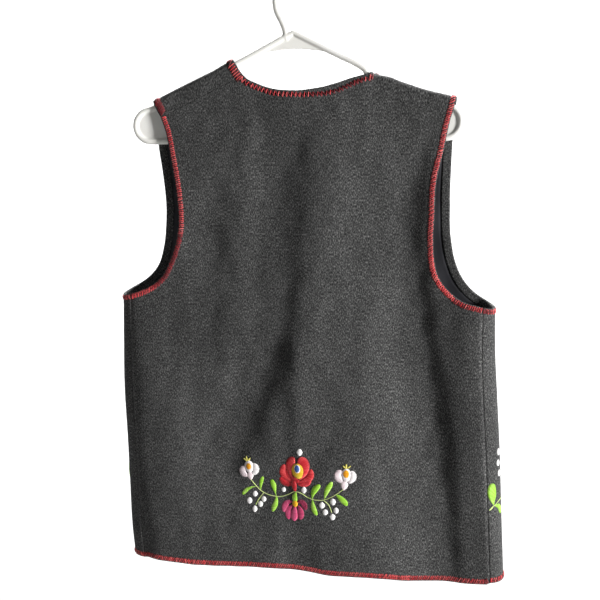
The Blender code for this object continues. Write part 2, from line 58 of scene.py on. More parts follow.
cameraData = bpy.data.cameras.new("camera")
cameraData.lens = view["lens"]
cameraData.sensor_width = view["sensor"]
cameraData.clip_end = 30.0
camera = bpy.data.objects.new("camera", cameraData)
bpy.context.scene.collection.objects.link(camera)
pointAt(camera, view["place"], view["lookAt"])
bpy.context.scene.camera = camera
bpy.context.scene.view_settings.view_transform = "Standard"

studio = {
    "sky": (1.0, 1.0, 1.0),
    "skyPower": 0.012,
    "lamps": {
        # name: place, aim, size, power
        "keyLamp": ((-6.44, 2.74, -0.18), (0.0, 0.0, -0.42), 1.2, 875.0),
        "fillLamp": ((1.2, 2.0, 0.6), (0.0, 0.0, -0.42), 1.8, 0.6),
        "backdropLamp": ((0.0, -1.3, 1.7), (0.0, -2.9, -0.7), 1.8, 430.0),
    },
    "floor": -1.02,
}


def softLamp(name, place, aim, size, power):
    lamp = bpy.data.lights.new(name, "AREA")
    lamp.shape = "SQUARE"
    lamp.size = size
    lamp.energy = power
    holder = bpy.data.objects.new(name, lamp)
    bpy.context.scene.collection.objects.link(holder)
    pointAt(holder, place, aim)


world = bpy.data.worlds.new("studio")
world.use_nodes = True
world.node_tree.nodes["Background"].inputs["Color"].default_value = (*studio["sky"], 1.0)
world.node_tree.nodes["Background"].inputs["Strength"].default_value = studio["skyPower"]
bpy.context.scene.world = world
for name, setting in studio["lamps"].items():
    softLamp(name, *setting)


# shader maths

class Flow:
    # one socket of a material, so that sums and products on it add their Math nodes

    def __init__(self, finish, socket):
        self.finish = finish
        self.socket = socket

    def __add__(self, other):
        return self.finish.maths("ADD", self, other)

    def __radd__(self, other):
        return self.finish.maths("ADD", other, self)

    def __sub__(self, other):
        return self.finish.maths("SUBTRACT", self, other)

    def __rsub__(self, other):
        return self.finish.maths("SUBTRACT", other, self)

    def __mul__(self, other):
        return self.finish.maths("MULTIPLY", self, other)

    def __rmul__(self, other):
        return self.finish.maths("MULTIPLY", other, self)


class Finish:
    # a material: node() adds any node, and set() fills the sockets of its shader

    def __init__(self, name, **fixed):
        self.material = bpy.data.materials.new(name)
        self.material.use_nodes = True
        self.tree = self.material.node_tree
        self.shader = self.tree.nodes["Principled BSDF"]
        for socket, value in fixed.items():
            self.shader.inputs[socket.replace("_", " ")].default_value = value

    def node(self, kind, settings=None, values=None, output=0):
        made = self.tree.nodes.new(kind)
        for key, value in (settings or {}).items():
            if key == "stops":
                ramp = made.color_ramp
                while len(ramp.elements) < len(value):
                    ramp.elements.new(0.5)
                for element, (place, colour) in zip(ramp.elements, value):
                    element.position = place
                    element.color = (*colour, 1.0)
            else:
                setattr(made, key, value)
        for key, value in (values or {}).items():
            self.join(value, made.inputs[key])
        return Flow(self, made.outputs[output])

    def join(self, value, socket):
        if isinstance(value, Flow):
            self.tree.links.new(value.socket, socket)
        elif hasattr(value, "__len__") and len(value) == 3 and socket.type == "RGBA":
            socket.default_value = (*value, 1.0)
        else:
            socket.default_value = value

    def set(self, socket, value):
        self.join(value, self.shader.inputs[socket])

    def maths(self, operation, first, second):
        return self.node("ShaderNodeMath", {"operation": operation}, {0: first, 1: second})

    def noise(self, vector, scale, detail=2.0, roughness=0.5, distortion=0.0):
        values = {"Vector": vector, "Scale": scale, "Detail": detail}
        values.update({"Roughness": roughness, "Distortion": distortion})
        return self.node("ShaderNodeTexNoise", None, values)

    def ramp(self, value, stops):
        return self.node("ShaderNodeValToRGB", {"stops": stops}, {"Fac": value})

    def band(self, value, low, high, lowest=0.0, highest=1.0):
        # maps low..high smoothly to lowest..highest
        values = {"Value": value, "From Min": low, "From Max": high}
        values.update({"To Min": lowest, "To Max": highest})
        return self.node("ShaderNodeMapRange", {"interpolation_type": "SMOOTHSTEP"}, values)

    def blend(self, amount, first, second, how="MIX"):
        settings = {"data_type": "RGBA", "blend_type": how}
        return self.node("ShaderNodeMix", settings, {0: amount, 6: first, 7: second}, 2)

    def bump(self, height, strength, distance):
        values = {"Height": height, "Strength": strength, "Distance": distance}
        return self.node("ShaderNodeBump", None, values)


# mesh tools

def meshFrom(name, points, quads, finish, uv=None, marks=None, rim=0):
    # puts numpy points and quads into a mesh object, faces turned out by the sign of its volume;
    # marks are values kept on its points, each a number or three; the last rim quads are flat
    corner = points[quads]
    volume = np.einsum("ij,ij->i", corner[:, 0], np.cross(corner[:, 1], corner[:, 2])).sum()
    volume += np.einsum("ij,ij->i", corner[:, 0], np.cross(corner[:, 2], corner[:, 3])).sum()
    if volume < 0.0:
        quads = quads[:, ::-1]
    mesh = bpy.data.meshes.new(name)
    mesh.vertices.add(len(points))
    mesh.vertices.foreach_set("co", points.astype(np.float32).ravel())
    mesh.loops.add(quads.size)
    mesh.loops.foreach_set("vertex_index", quads.astype(np.int32).ravel())
    mesh.polygons.add(len(quads))
    mesh.polygons.foreach_set("loop_start", np.arange(0, quads.size, 4, dtype=np.int32))
    mesh.polygons.foreach_set("use_smooth", np.arange(len(quads)) < len(quads) - rim)
    if uv is not None:
        layer = mesh.uv_layers.new(name="cut")
        layer.uv.foreach_set("vector", uv[quads.ravel()].astype(np.float32).ravel())
    for key, values in (marks or {}).items():
        kind, slot = ("FLOAT", "value") if values.ndim == 1 else ("FLOAT_VECTOR", "vector")
        mark = mesh.attributes.new(key, kind, "POINT")
        mark.data.foreach_set(slot, values.astype(np.float32).ravel())
    mesh.update(calc_edges=True)
    mesh.validate()
    made = bpy.data.objects.new(name, mesh)
    bpy.context.scene.collection.objects.link(made)
    mesh.materials.append(finish.material)
    return made


def gridQuads(rows, columns):
    # the quads of a grid of rows by columns points
    first = np.arange(rows - 1)[:, None] * columns + np.arange(columns - 1)[None, :]
    return np.stack([first, first + 1, first + columns + 1, first + columns], -1).reshape(-1, 4)


def unit(vectors):
    return vectors / np.maximum(np.linalg.norm(vectors, axis=-1, keepdims=True), 1e-12)


# the cut of the vest, and how it hangs: every panel is laid out flat in girth from the vest's
# middle (left side positive) and height

felt = {
    "wall": 0.002,
    "seamGap": 0.00004,
    "armBend": 0.0052,  # inner bend over the hanger's arm
    "bendDepth": 0.015,  # below the shoulder line, where the bend is over
    "edgeRound": 0.00006,
    "edgeRings": 3,
    "ridgeSoften": 0.003,
    "ripple": 0.00045,
    "rippleClear": 0.05,  # the ripples grow over this far below the shoulder line
    "rippleEnd": (0.212, 0.03),  # and fade out over the last part of this girth
    "normalStep": 0.0008,
    "backCrowd": 0.45,  # weight of girth in an armhole's spacing
    "frontCrowd": 0.9,
    "middleCrowd": 0.4,  # a front's columns crowd towards its side seam
    "sideAt": 0.2,  # the sides' drop is measured from the shoulder line's height here
}
shoulderLine = {
    # name: (x, height)
    "right tip": (-0.1995, -0.159),
    "right outer": (-0.1613, -0.1493),
    "right middle": (-0.1312, -0.139),
    "right inner": (-0.119, -0.1336),
    "right neck": (-0.0984, -0.1294),
    "right arm": (-0.09, -0.117),
    "peak": (0.0, -0.0715),
    "left neck": (0.0793, -0.109),
    "left inner": (0.1, -0.1204),
    "left middle": (0.1327, -0.1349),
    "left outer": (0.1592, -0.147),
    "left tip": (0.1813, -0.1575),
}
hangShape = [
    # drop, side radius, crown at the middle
    (0.0, 0.0052, 0.0),
    (0.05, 0.008, 0.002),
    (0.11, 0.013, 0.005),
    (0.19, 0.018, 0.008),
    (0.26, 0.0216, 0.009),
    (0.3, 0.0232, 0.01),
    (0.62, 0.024, 0.012),
]
girths = [
    # height, middle x, half width
    (-0.08, -0.0098, 0.237),
    (-0.14, -0.0098, 0.237),
    (-0.2, -0.0098, 0.237),
    (-0.3, -0.011, 0.237),
    (-0.415, -0.0125, 0.2372),
    (-0.46, -0.0125, 0.2382),
    (-0.525, -0.0142, 0.2408),
    (-0.6, -0.0182, 0.2422),
    (-0.65, -0.0202, 0.2428),
    (-0.73, -0.0238, 0.2436),
    (-0.765, -0.0266, 0.2429),
]
backArmhole = {
    # girth, height; None is at the side seam
    "left": [(0.179, -0.1786), (0.1725, -0.196), (0.1674, -0.219), (0.1583, -0.269),
             (0.1556, -0.301), (0.1573, -0.327), (0.169, -0.36), (0.1832, -0.3825),
             (0.201, -0.3948), (None, -0.4025)],
    "right": [(0.19, -0.161), (0.1828, -0.185), (0.1757, -0.219), (0.1661, -0.265),
              (0.1645, -0.301), (0.1633, -0.33), (0.165, -0.357), (0.1692, -0.374),
              (0.179, -0.389), (0.202, -0.4061), (None, -0.4117)],
}
frontArmhole = {
    "left": [(0.1908, -0.1612), (0.188, -0.215), (0.1847, -0.25), (0.1828, -0.285),
             (0.1843, -0.315), (0.1894, -0.345), (0.1972, -0.3671), (0.208, -0.3806),
             (0.2276, -0.3946), (0.2426, -0.4016), (0.262, -0.4048), (None, -0.4025)],
    "right": [(0.19, -0.161), (0.1858, -0.211), (0.1843, -0.245), (0.1834, -0.282),
              (0.1852, -0.332), (0.1906, -0.36), (0.1994, -0.38), (0.2122, -0.3955),
              (0.242, -0.4118), (0.262, -0.4138), (None, -0.4117)],
}
neckline = [(0.056, -0.1337), (0.0459, -0.1384), (0.0258, -0.1457), (-0.0043, -0.1489),
            (-0.0341, -0.1458), (-0.0537, -0.141), (-0.0733, -0.1347), (-0.086, -0.1317)]
frontEdge = [
    # drop below the shoulder line at the neck, distance from the middle
    (0.04, 0.08), (0.1, 0.064), (0.17, 0.04), (0.22, 0.02),
    (0.25, 0.0085), (0.275, 0.0055), (0.43, 0.006),
]
hemOpening = 0.008
shoulderSeams = {
    "left": ((0.169, -0.1786), (0.0622, -0.1284)),
    "right": ((-0.1995, -0.161), (-0.0984, -0.1326)),
}
shoulderTip = {"left": 0.1813, "right": -0.1995}
neckCorner = {"left": (0.0765, -0.1108), "right": (-0.0984, -0.1326)}
sideSeamTurn = math.radians(18)
hemLine = [(0.23, -0.759), (0.17, -0.7578), (0.125, -0.7582), (0.07, -0.7566),
           (0.02, -0.7542), (-0.02, -0.7558), (-0.05, -0.7578), (-0.08, -0.7578),
           (-0.12, -0.7595), (-0.16, -0.7632), (-0.2, -0.7634), (-0.242, -0.762),
           (-0.275, -0.7593)]
folds = {
    # name: face, then along the girth the widths of the steep wall's near and far side, the
    # reach of the trough behind it and the width of the gentle wall back up; then rows of
    # height, x of the steep wall, depth
    "centre": ("back", 0.011, 0.013, 0.065, 0.018, [
        (-0.135, -0.015, 0.0), (-0.165, -0.0155, 0.002), (-0.206, -0.0155, 0.006),
        (-0.282, -0.0135, 0.009), (-0.356, -0.0085, 0.009), (-0.43, -0.004, 0.009),
        (-0.493, 0.0125, 0.009), (-0.538, 0.0295, 0.009), (-0.571, 0.041, 0.0085),
        (-0.61, 0.06, 0.0065), (-0.663, 0.0715, 0.0055), (-0.74, 0.065, 0.0005)
    ]),
    "left": ("back", 0.045, 0.007, 0.038, 0.0165, [
        (-0.165, 0.0735, 0.0), (-0.208, 0.0715, 0.0015), (-0.32, 0.088, 0.007),
        (-0.445, 0.093, 0.0075), (-0.515, 0.0975, 0.0075), (-0.6, 0.0975, 0.005),
        (-0.64, 0.097, 0.0)
    ]),
    "right": ("back", 0.0095, 0.0105, 0.088, 0.0235, [
        (-0.155, -0.1765, 0.0), (-0.199, -0.1725, 0.002), (-0.215, -0.1695, 0.003),
        (-0.258, -0.1635, 0.0085), (-0.33, -0.1595, 0.0095), (-0.39, -0.1675, 0.0095),
        (-0.505, -0.186, 0.0095), (-0.56, -0.1965, 0.0095), (-0.635, -0.203, 0.0095),
        (-0.74, -0.213, 0.007)
    ]),
    "right edge": ("back", 0.0115, 0.03, 0.085, 0.0165, [
        (-0.34, -0.2195, 0.0), (-0.4, -0.208, 0.0085), (-0.5, -0.212, 0.009),
        (-0.6, -0.2235, 0.009), (-0.74, -0.249, 0.007)
    ]),
    "left edge": ("back", 0.0115, 0.006, 0.9, 0.02, [
        (-0.38, 0.206, 0.0), (-0.47, 0.2095, 0.0055), (-0.54, 0.207, 0.007),
        (-0.62, 0.207, 0.008), (-0.74, 0.19, 0.008)
    ]),
    "left low": ("back", 0.0115, 0.0085, 0.032, 0.014, [
        (-0.34, 0.143, 0.0), (-0.376, 0.143, 0.003), (-0.446, 0.1365, 0.004),
        (-0.52, 0.133, 0.002), (-0.56, 0.133, 0.0)
    ]),
    "right low": ("back", 0.016, 0.008, 0.041, 0.0145, [
        (-0.37, -0.0855, 0.0), (-0.4, -0.0855, 0.0035), (-0.465, -0.081, 0.0045),
        (-0.528, -0.0635, 0.003), (-0.579, -0.0535, 0.003), (-0.618, -0.0345, 0.003),
        (-0.74, -0.031, 0.0045)
    ]),
    "centre low": ("back", 0.006, 0.0125, 0.082, 0.0245, [
        (-0.45, -0.003, 0.0), (-0.48, -0.003, 0.004), (-0.53, -0.0035, 0.003),
        (-0.594, -0.005, 0.0055), (-0.66, -0.006, 0.0055), (-0.7, -0.006, 0.0)
    ]),
    "foot": ("back", 0.045, 0.006, 0.041, 0.0215, [
        (-0.63, 0.042, 0.0), (-0.66, 0.042, 0.005), (-0.715, 0.034, 0.005),
        (-0.745, 0.0475, 0.004)
    ]),
    "front left": ("front", 0.012, 0.01, 0.036, 0.015, [
        (-0.19, 0.134, 0.0), (-0.33, 0.131, 0.006), (-0.5, 0.134, 0.007),
        (-0.68, 0.148, 0.006), (-0.78, 0.157, 0.003)
    ]),
    "front left inner": ("front", 0.012, 0.01, 0.04, 0.018, [
        (-0.3, 0.05, 0.0), (-0.45, 0.046, 0.0045), (-0.62, 0.038, 0.0045),
        (-0.7, 0.034, 0.0)
    ]),
    "front right": ("front", 0.012, 0.01, 0.036, 0.015, [
        (-0.19, -0.166, 0.0), (-0.33, -0.162, 0.007), (-0.5, -0.172, 0.008),
        (-0.68, -0.188, 0.007), (-0.78, -0.2, 0.003)
    ]),
    "front right inner": ("front", 0.012, 0.01, 0.04, 0.018, [
        (-0.32, -0.096, 0.0), (-0.47, -0.094, 0.0045), (-0.64, -0.092, 0.0045),
        (-0.78, -0.09, 0.002)
    ]),
}
cells = {"shoulder": 28, "neck": 56, "across": 76, "wrap": 18, "armhole": 96, "body": 84}
bendRows = {"count": 10, "step": 0.0013}


def through(keys, values, at):
    # smooth curve through (keys, values): cubic pieces whose slope at a key is the mean of
    # the slopes beside it, weighted by the other side's step
    keys = np.asarray(keys, dtype=float)
    values = np.asarray(values, dtype=float)
    steps = np.diff(keys)
    slopes = np.diff(values) / steps
    tangents = np.concatenate([slopes[:1], slopes, slopes[-1:]])[1:]
    tangents[0] = slopes[0]
    inner = slopes[:-1] * steps[1:] + slopes[1:] * steps[:-1]
    tangents[1:-1] = inner / (steps[1:] + steps[:-1])
    at = np.clip(at, keys[0], keys[-1])
    piece = np.clip(np.searchsorted(keys, at, side="right") - 1, 0, len(steps) - 1)
    step = steps[piece]
    t = (at - keys[piece]) / step
    rest = 1.0 - t
    start = values[piece] * (1.0 + 2.0 * t) + tangents[piece] * step * t
    end = values[piece + 1] * (1.0 + 2.0 * rest) - tangents[piece + 1] * step * rest
    return start * rest**2 + end * t**2


def readTable(table, key, value, at):
    rows = sorted(table, key=lambda row: row[key])
    return through([row[key] for row in rows], [row[value] for row in rows], at)


def ridgeHeight(x):
    # height of the felt's inner face on the shoulder line, its corners eased over 6 mm
    rows = sorted(shoulderLine.values())
    ease = felt["ridgeSoften"]
    mean = 0.0
    for shift in (-ease, -0.5 * ease, 0.0, 0.5 * ease, ease):
        mean = mean + 0.2 * np.interp(x + shift, [row[0] for row in rows], [row[1] for row in rows])
    return mean - felt["wall"]


def middleX(height):
    return readTable(girths, 0, 1, height)


def halfWidth(height):
    return readTable(girths, 0, 2, height)


def sideRadius(drop):
    return readTable(hangShape, 0, 1, drop)


def crown(drop):
    return readTable(hangShape, 0, 2, drop)


def seamGirth(face, height):
    # flat half width, then the side's round up to the seam
    radius = sideRadius(ridgeHeight(felt["sideAt"]) - height)
    turn = sideSeamTurn if face == "back" else math.pi - sideSeamTurn
    return halfWidth(height) - radius + radius * turn


def foldDepth(face, x, height):
    # sum over the folds of depth * (step(u) - (1 + tanh((u - reach) / back)) / 2), where u runs
    # towards +X from the steep wall and step' falls off as sech^2 over near or far
    total = np.zeros_like(x)
    for where, near, far, reach, back, rows in folds.values():
        if where != face:
            continue
        u = x - readTable(rows, 0, 1, height)
        before = near * np.tanh(np.minimum(u, 0.0) / near)
        after = far * np.tanh(np.maximum(u, 0.0) / far)
        wall = (near + before + after) / (near + far)
        rise = 0.5 * (1.0 + np.tanh((u - reach) / back))
        total += np.maximum(readTable(rows, 0, 2, height), 0.0) * (wall - rise)
    return total


def hang(face, girth, rise):
    # flat cut to space: over the arm the felt bends through a quarter turn of armBend, then
    # stands off by the side's round and the crown, less the folds, which die out round the side
    # as the cosine of its turn
    outward = 1.0 if face == "back" else -1.0
    side = np.sign(girth)
    reach = np.abs(girth)
    bend = felt["armBend"]
    ridge = ridgeHeight(middleX(rise) + girth)
    signed = ridge - rise
    curl = bend * (0.5 * math.pi - 1.0)
    length = np.abs(signed) + curl * np.clip(np.abs(signed) / felt["bendDepth"], 0.0, 1.0)
    angle = np.minimum(length / bend, 0.5 * math.pi)
    below = np.maximum(length - bend * 0.5 * math.pi, 0.0)
    height = ridge - bend * (1.0 - np.cos(angle)) - below
    drop = ridge - height

    radius = sideRadius(drop)
    flat = halfWidth(height) - radius
    turn = np.clip((reach - flat) / radius, 0.0, None)
    x = middleX(height) + side * (np.minimum(reach, flat) + radius * np.sin(turn))
    swell = crown(drop) * np.clip(1.0 - (reach / flat) ** 2, 0.0, 1.0)
    depth = radius * np.cos(turn) + swell
    onBack = np.where(signed >= 0.0, face == "back", face != "back")
    backFold, frontFold = foldDepth("back", x, height), foldDepth("front", x, height)
    near, far = np.where(onBack, (backFold, frontFold), (frontFold, backFold))
    facing = np.cos(turn)
    depth = depth - near * np.maximum(facing, 0.0) + far * np.maximum(-facing, 0.0)
    depth = depth * np.sin(angle)
    y = outward * np.where(signed >= 0.0, 1.0, -1.0) * depth
    return np.stack([x, y, height], axis=-1)


def rippled(face, girth, rise):
    # hang() plus low waves of a few centimetres, faded out at the seams and the shoulder line
    place = hang(face, girth, rise)
    x, z = girth, rise
    wave = np.sin(x * 118.0 + 2.1 * np.sin(z * 31.0)) * np.sin(z * 57.0 + 1.3 * np.sin(x * 43.0))
    wave = wave + 0.6 * np.sin(x * 73.0 - z * 96.0 + 1.7 * np.sin(z * 23.0 + x * 19.0))
    wave = wave + 0.4 * np.sin(x * 211.0 + 1.5 * np.sin(z * 88.0))
    drop = ridgeHeight(place[..., 0]) - place[..., 2]
    end, width = felt["rippleEnd"]
    fade = np.clip(drop / felt["rippleClear"], 0.0, 1.0)
    fade = fade * np.clip((end - np.abs(girth)) / width, 0.0, 1.0)
    place[..., 1] += felt["ripple"] * wave * fade
    return place


def feltNormal(face, girth, rise):
    # cross product of the steps of hang() along girth and height, turned out of the vest
    step = felt["normalStep"]
    across = rippled(face, girth + step, rise) - rippled(face, girth - step, rise)
    up = rippled(face, girth, rise + step) - rippled(face, girth, rise - step)
    normal = np.cross(across, up)
    return unit(normal if face == "front" else -normal)


def along(points, share, girthWeight=1.0):
    # points at shares of a route's length, on a smooth curve through its corners
    points = np.asarray(points, dtype=float)
    lengths = np.linalg.norm(np.diff(points, axis=0) * (girthWeight, 1.0), axis=1)
    marks = np.concatenate([[0.0], np.cumsum(lengths)]) / lengths.sum()
    return np.stack([through(marks, points[:, k], share) for k in range(2)], axis=-1)


def shares(count):
    return np.linspace(0.0, 1.0, count + 1)


def bendShares(route, count):
    # shares of a route that start close together, for the bend over the arm
    length = np.linalg.norm(np.diff(np.asarray(route, dtype=float), axis=0), axis=1).sum()
    fine = bendRows["step"] * np.arange(bendRows["count"]) / length
    rest = shares(count - bendRows["count"] + 1)[1:]
    return np.concatenate([fine, fine[-1] + (1.0 - fine[-1]) * rest])


def joined(*routes):
    return np.concatenate([routes[0]] + [route[1:] for route in routes[1:]])


def straight(start, end, share):
    start = np.asarray(start, dtype=float)
    return start + (np.asarray(end) - start) * share[:, None]


def patch(top, foot, left, right, across):
    # Coons patch: the two ruled sheets between opposite edges, less the one between corners
    marks = left[:, 1] - left[0, 1] + right[:, 1] - right[0, 1]
    v = (marks / marks[-1])[:, None, None]
    u = across[None, :, None]
    ruled = (1.0 - v) * top[None] + v * foot[None]
    ruled = ruled + (1.0 - u) * left[:, None] + u * right[:, None]
    corners = (1.0 - u) * (1.0 - v) * top[0] + u * (1.0 - v) * top[-1]
    corners = corners + (1.0 - u) * v * foot[0] + u * v * foot[-1]
    return ruled - corners


def hemHeight(x):
    return readTable(hemLine, 0, 1, x)


def hemEnd(side):
    return float(hemHeight(hemLine[0][0] if side == "left" else hemLine[-1][0]))


def shoulderSeam(side, share):
    # the left seam runs behind the shoulder line, the right one on it
    seam = straight(*shoulderSeams[side], share)
    if side == "right":
        seam[:, 1] = ridgeHeight(seam[:, 0])
    return seam


def toGirth(points):
    moved = np.array(points, dtype=float)
    moved[:, 0] -= middleX(moved[:, 1])
    return moved


def footLine(left, right, share):
    line = straight(left, right, share)
    line[1:-1, 1] = hemHeight(line[:, 0] + float(middleX(hemLine[0][1])))[1:-1]
    return line


def sideEdge(face, side):
    # armhole, then side seam
    route = (backArmhole if face == "back" else frontArmhole)[side]
    gap = 0.5 * felt["seamGap"]
    route = [(seamGirth(face, z) - gap if g is None else g, z) for g, z in route]
    weight = felt["backCrowd" if face == "back" else "frontCrowd"]
    armhole = along(route, bendShares(route, cells["armhole"]), weight)
    heights = armhole[-1, 1] + (hemEnd(side) - armhole[-1, 1]) * shares(cells["body"])
    return joined(armhole, np.stack([seamGirth(face, heights) - gap, heights], axis=-1))


def backCut():
    left = sideEdge("back", "left")
    right = sideEdge("back", "right") * (-1.0, 1.0)
    seams = {}
    for side in ("left", "right"):
        seams[side] = toGirth(shoulderSeam(side, shares(cells["shoulder"])))
        seams[side][:, 1] -= 0.5 * felt["seamGap"]
    seams["right"] = seams["right"][::-1]
    neck = np.concatenate([seams["left"][-1:], toGirth(neckline), seams["right"][:1]])[::-1]
    neck = along(neck, bendShares(neck, cells["neck"]))[::-1]
    top = joined(seams["left"], neck, seams["right"])
    left[0] = top[0]
    right[0] = top[-1]
    across = shares(len(top) - 1)
    return patch(top, footLine(left[-1], right[-1], across), left, right, across)


def frontCut(side):
    sign = 1.0 if side == "left" else -1.0
    across = shares(cells["across"])
    across = across - felt["middleCrowd"] * across * (1.0 - across)
    seam = shoulderSeam(side, across)
    top = toGirth(seam) * (sign, 1.0)
    top[:, 1] = 2.0 * ridgeHeight(seam[:, 0]) - seam[:, 1] - 0.5 * felt["seamGap"]
    outer = sideEdge("front", side)
    outer[0, 1] = ridgeHeight(shoulderTip[side])
    x, height = neckCorner[side]
    start = (abs(x - float(middleX(height))), ridgeHeight(x))
    route = [start] + [(girth, start[1] - drop) for drop, girth in frontEdge]
    inner = along(route, bendShares(route, cells["armhole"]))
    at = float(middleX(hemLine[0][1])) + sign * hemOpening
    end = (hemOpening, float(hemHeight(at)))
    inner = joined(inner, straight(inner[-1], end, shares(cells["body"])))
    if side == "left":
        wrap = shares(cells["wrap"])
        outer = joined(straight(top[0], outer[0], wrap), outer)
        inner = joined(straight(top[-1], inner[0], wrap), inner)
    outer[0] = top[0]
    inner[0] = top[-1]
    top, outer, inner = (edge * (sign, 1.0) for edge in (top, outer, inner))
    return patch(top, footLine(outer[-1], inner[-1], across), outer, inner, across)


def makeShell(name, face, cut, finish, low=0.0, high=felt["wall"]):
    # closed felt shell between two offsets along the normal of rippled(), with a rim:
    # middle + half wall * cos(turn) along the normal + round * sin(turn) out
    rows, columns = cut.shape[:2]
    under = rippled(face, cut[..., 0], cut[..., 1]).reshape(-1, 3)
    normal = feltNormal(face, cut[..., 0], cut[..., 1]).reshape(-1, 3)
    inner = under + normal * np.reshape(low, (-1, 1))
    outer = under + normal * np.reshape(high, (-1, 1))
    index = np.arange(rows * columns).reshape(rows, columns)
    loop = np.concatenate([index[0, :-1], index[:-1, -1], index[-1, :0:-1], index[:0:-1, 0]])
    inside = np.concatenate([index[1, :-1], index[:-1, -2], index[-2, :0:-1], index[:0:-1, 1]])
    middle = 0.5 * (inner + outer)
    run = np.roll(middle[loop], -1, axis=0) - np.roll(middle[loop], 1, axis=0)
    out = unit(np.cross(run, normal[loop]))
    if np.einsum("ij,ij->", out, middle[loop] - middle[inside]) < 0.0:
        out = -out
    half = 0.5 * np.linalg.norm(outer[loop] - inner[loop], axis=-1, keepdims=True)
    pull = out * felt["edgeRound"]
    inner[loop] -= pull
    outer[loop] -= pull
    rings = []
    for k in range(1, felt["edgeRings"] + 1):
        turn = math.pi * k / (felt["edgeRings"] + 1)
        lift = normal[loop] * half * math.cos(turn)
        rings.append(middle[loop] + lift + pull * (math.sin(turn) - 1.0))
    points = np.concatenate([outer, inner] + rings)
    count = rows * columns
    field = gridQuads(rows, columns)
    ids = [loop] + [2 * count + len(loop) * k + np.arange(len(loop)) for k in range(len(rings))]
    ids.append(loop + count)
    strips = []
    for near, far in zip(ids[:-1], ids[1:]):
        strips.append(np.stack([near, far, np.roll(far, -1), np.roll(near, -1)], -1))
    quads = np.concatenate([field, field[:, ::-1] + count] + strips)
    flat = cut.reshape(-1, 2)
    uv = np.concatenate([flat, flat] + [flat[loop]] * len(rings))
    return meshFrom(name, points, quads, finish, uv, None, len(loop) * len(strips))


# finishes

def feltFinish():
    # boiled wool: dark heather, pale flecks, and a low nap
    made = Finish("boiledWool", Roughness=0.96, Sheen_Weight=0.04, Sheen_Roughness=0.5)
    made.shader.inputs["Sheen Tint"].default_value = (0.55, 0.55, 0.58, 1.0)
    made.shader.inputs["Specular IOR Level"].default_value = 0.15
    cut = made.node("ShaderNodeUVMap", {"uv_map": "cut"})
    cut = made.node("ShaderNodeMapping", None, {"Vector": cut, "Scale": (1.0, 0.42, 1.0)})
    fleck = made.noise(cut, 980.0, 2.0, 0.5, 0.3)
    heather = made.noise(cut, 260.0, 2.0, 0.55, 0.8)
    patchy = made.noise(cut, 24.0)
    tone = fleck * 0.86 + heather * 0.14
    pile = made.ramp(tone, [(0.34, (0.012, 0.012, 0.012)), (0.46, (0.038, 0.038, 0.038)),
                            (0.54, (0.07, 0.07, 0.069)), (0.68, (0.19, 0.188, 0.184))])
    shade = made.band(patchy, 0.3, 0.7, 0.86, 1.12)
    grey = made.node("ShaderNodeCombineColor", None, {0: shade, 1: shade, 2: shade})
    made.set("Base Color", made.blend(1.0, pile, grey, "MULTIPLY"))
    made.set("Normal", made.bump(tone, 0.35, 0.0009))
    return made


def plasticFinish():
    # moulded cream plastic with a faint uneven gloss
    made = Finish("creamPlastic", Roughness=0.36)
    place = made.node("ShaderNodeTexCoord", None, None, 3)
    cloud = made.noise(place, 30.0)
    grain = made.noise(place, 900.0)
    tones = [(0.3, (0.9, 0.885, 0.83)), (0.7, (0.93, 0.92, 0.88))]
    made.set("Base Color", made.ramp(cloud, tones))
    made.set("Roughness", made.band(cloud, 0.3, 0.7, 0.32, 0.46))
    made.set("Normal", made.bump(grain + cloud * 4.0, 0.1, 0.0004))
    return made


def shadeSheetFinish():
    # near-black lining: its dark colour is painted shade inside the front armholes; fine twill as
    # sin(1400 * (x + z)) over a faint cloud
    made = Finish("darkLining", Roughness=0.7, Sheen_Weight=0.1, Sheen_Roughness=0.4)
    place = made.node("ShaderNodeTexCoord", None, None, 3)
    part = [made.node("ShaderNodeSeparateXYZ", None, {0: place}, k) for k in (0, 2)]
    twill = made.maths("SINE", (part[0] + part[1]) * 1400.0, 0.0)
    cloud = made.noise(place, 60.0)
    # near-black tones: painted shade deep in the armhole
    tones = [(0.3, (0.01, 0.01, 0.014)), (0.7, (0.016, 0.016, 0.022))]
    made.set("Base Color", made.ramp(cloud, tones))
    made.set("Normal", made.bump(twill, 0.1, 0.0002))
    return made


wool = feltFinish()
cream = plasticFinish()
shadeSheet = shadeSheetFinish()

backPattern = backCut()
leftPattern = frontCut("left")
rightPattern = frontCut("right")


def declare(piece, slot, node=None):
    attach(piece, "root")
    if node:
        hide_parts(node)
    return piece


backCloth, leftCloth, rightCloth = (
    declare(makeShell(name, face, cut, wool), "felt", node) for name, face, cut, node in (
        ("backCloth", "back", backPattern, "back"),
        ("leftFrontCloth", "front", leftPattern, "front_left"),
        ("rightFrontCloth", "front", rightPattern, "front_right")))
print("felt panels made")


# threads

thread = {
    # name: dark, middle and pale colour
    # red's salmon pale end and its dark end carry the edge strokes' painted sheen and painted shade
    "red": ((0.13, 0.006, 0.01), (0.66, 0.014, 0.026), (0.86, 0.17, 0.16)),
    "pink": ((0.22, 0.008, 0.04), (0.64, 0.06, 0.18), (0.8, 0.2, 0.36)),
    "green": ((0.1, 0.32, 0.008), (0.33, 0.66, 0.03), (0.74, 0.82, 0.36)),
    "yellow": ((0.84, 0.32, 0.006), (0.92, 0.58, 0.012), (0.86, 0.84, 0.22)),
    "blue": ((0.01, 0.05, 0.2), (0.03, 0.12, 0.42), (0.1, 0.24, 0.55)),
    "white": ((0.88, 0.6, 0.66), (0.9, 0.8, 0.82), (0.92, 0.92, 0.9)),
}
threadSides = 6
fibreShift = 37.0  # between the fibres of one stitch and the next


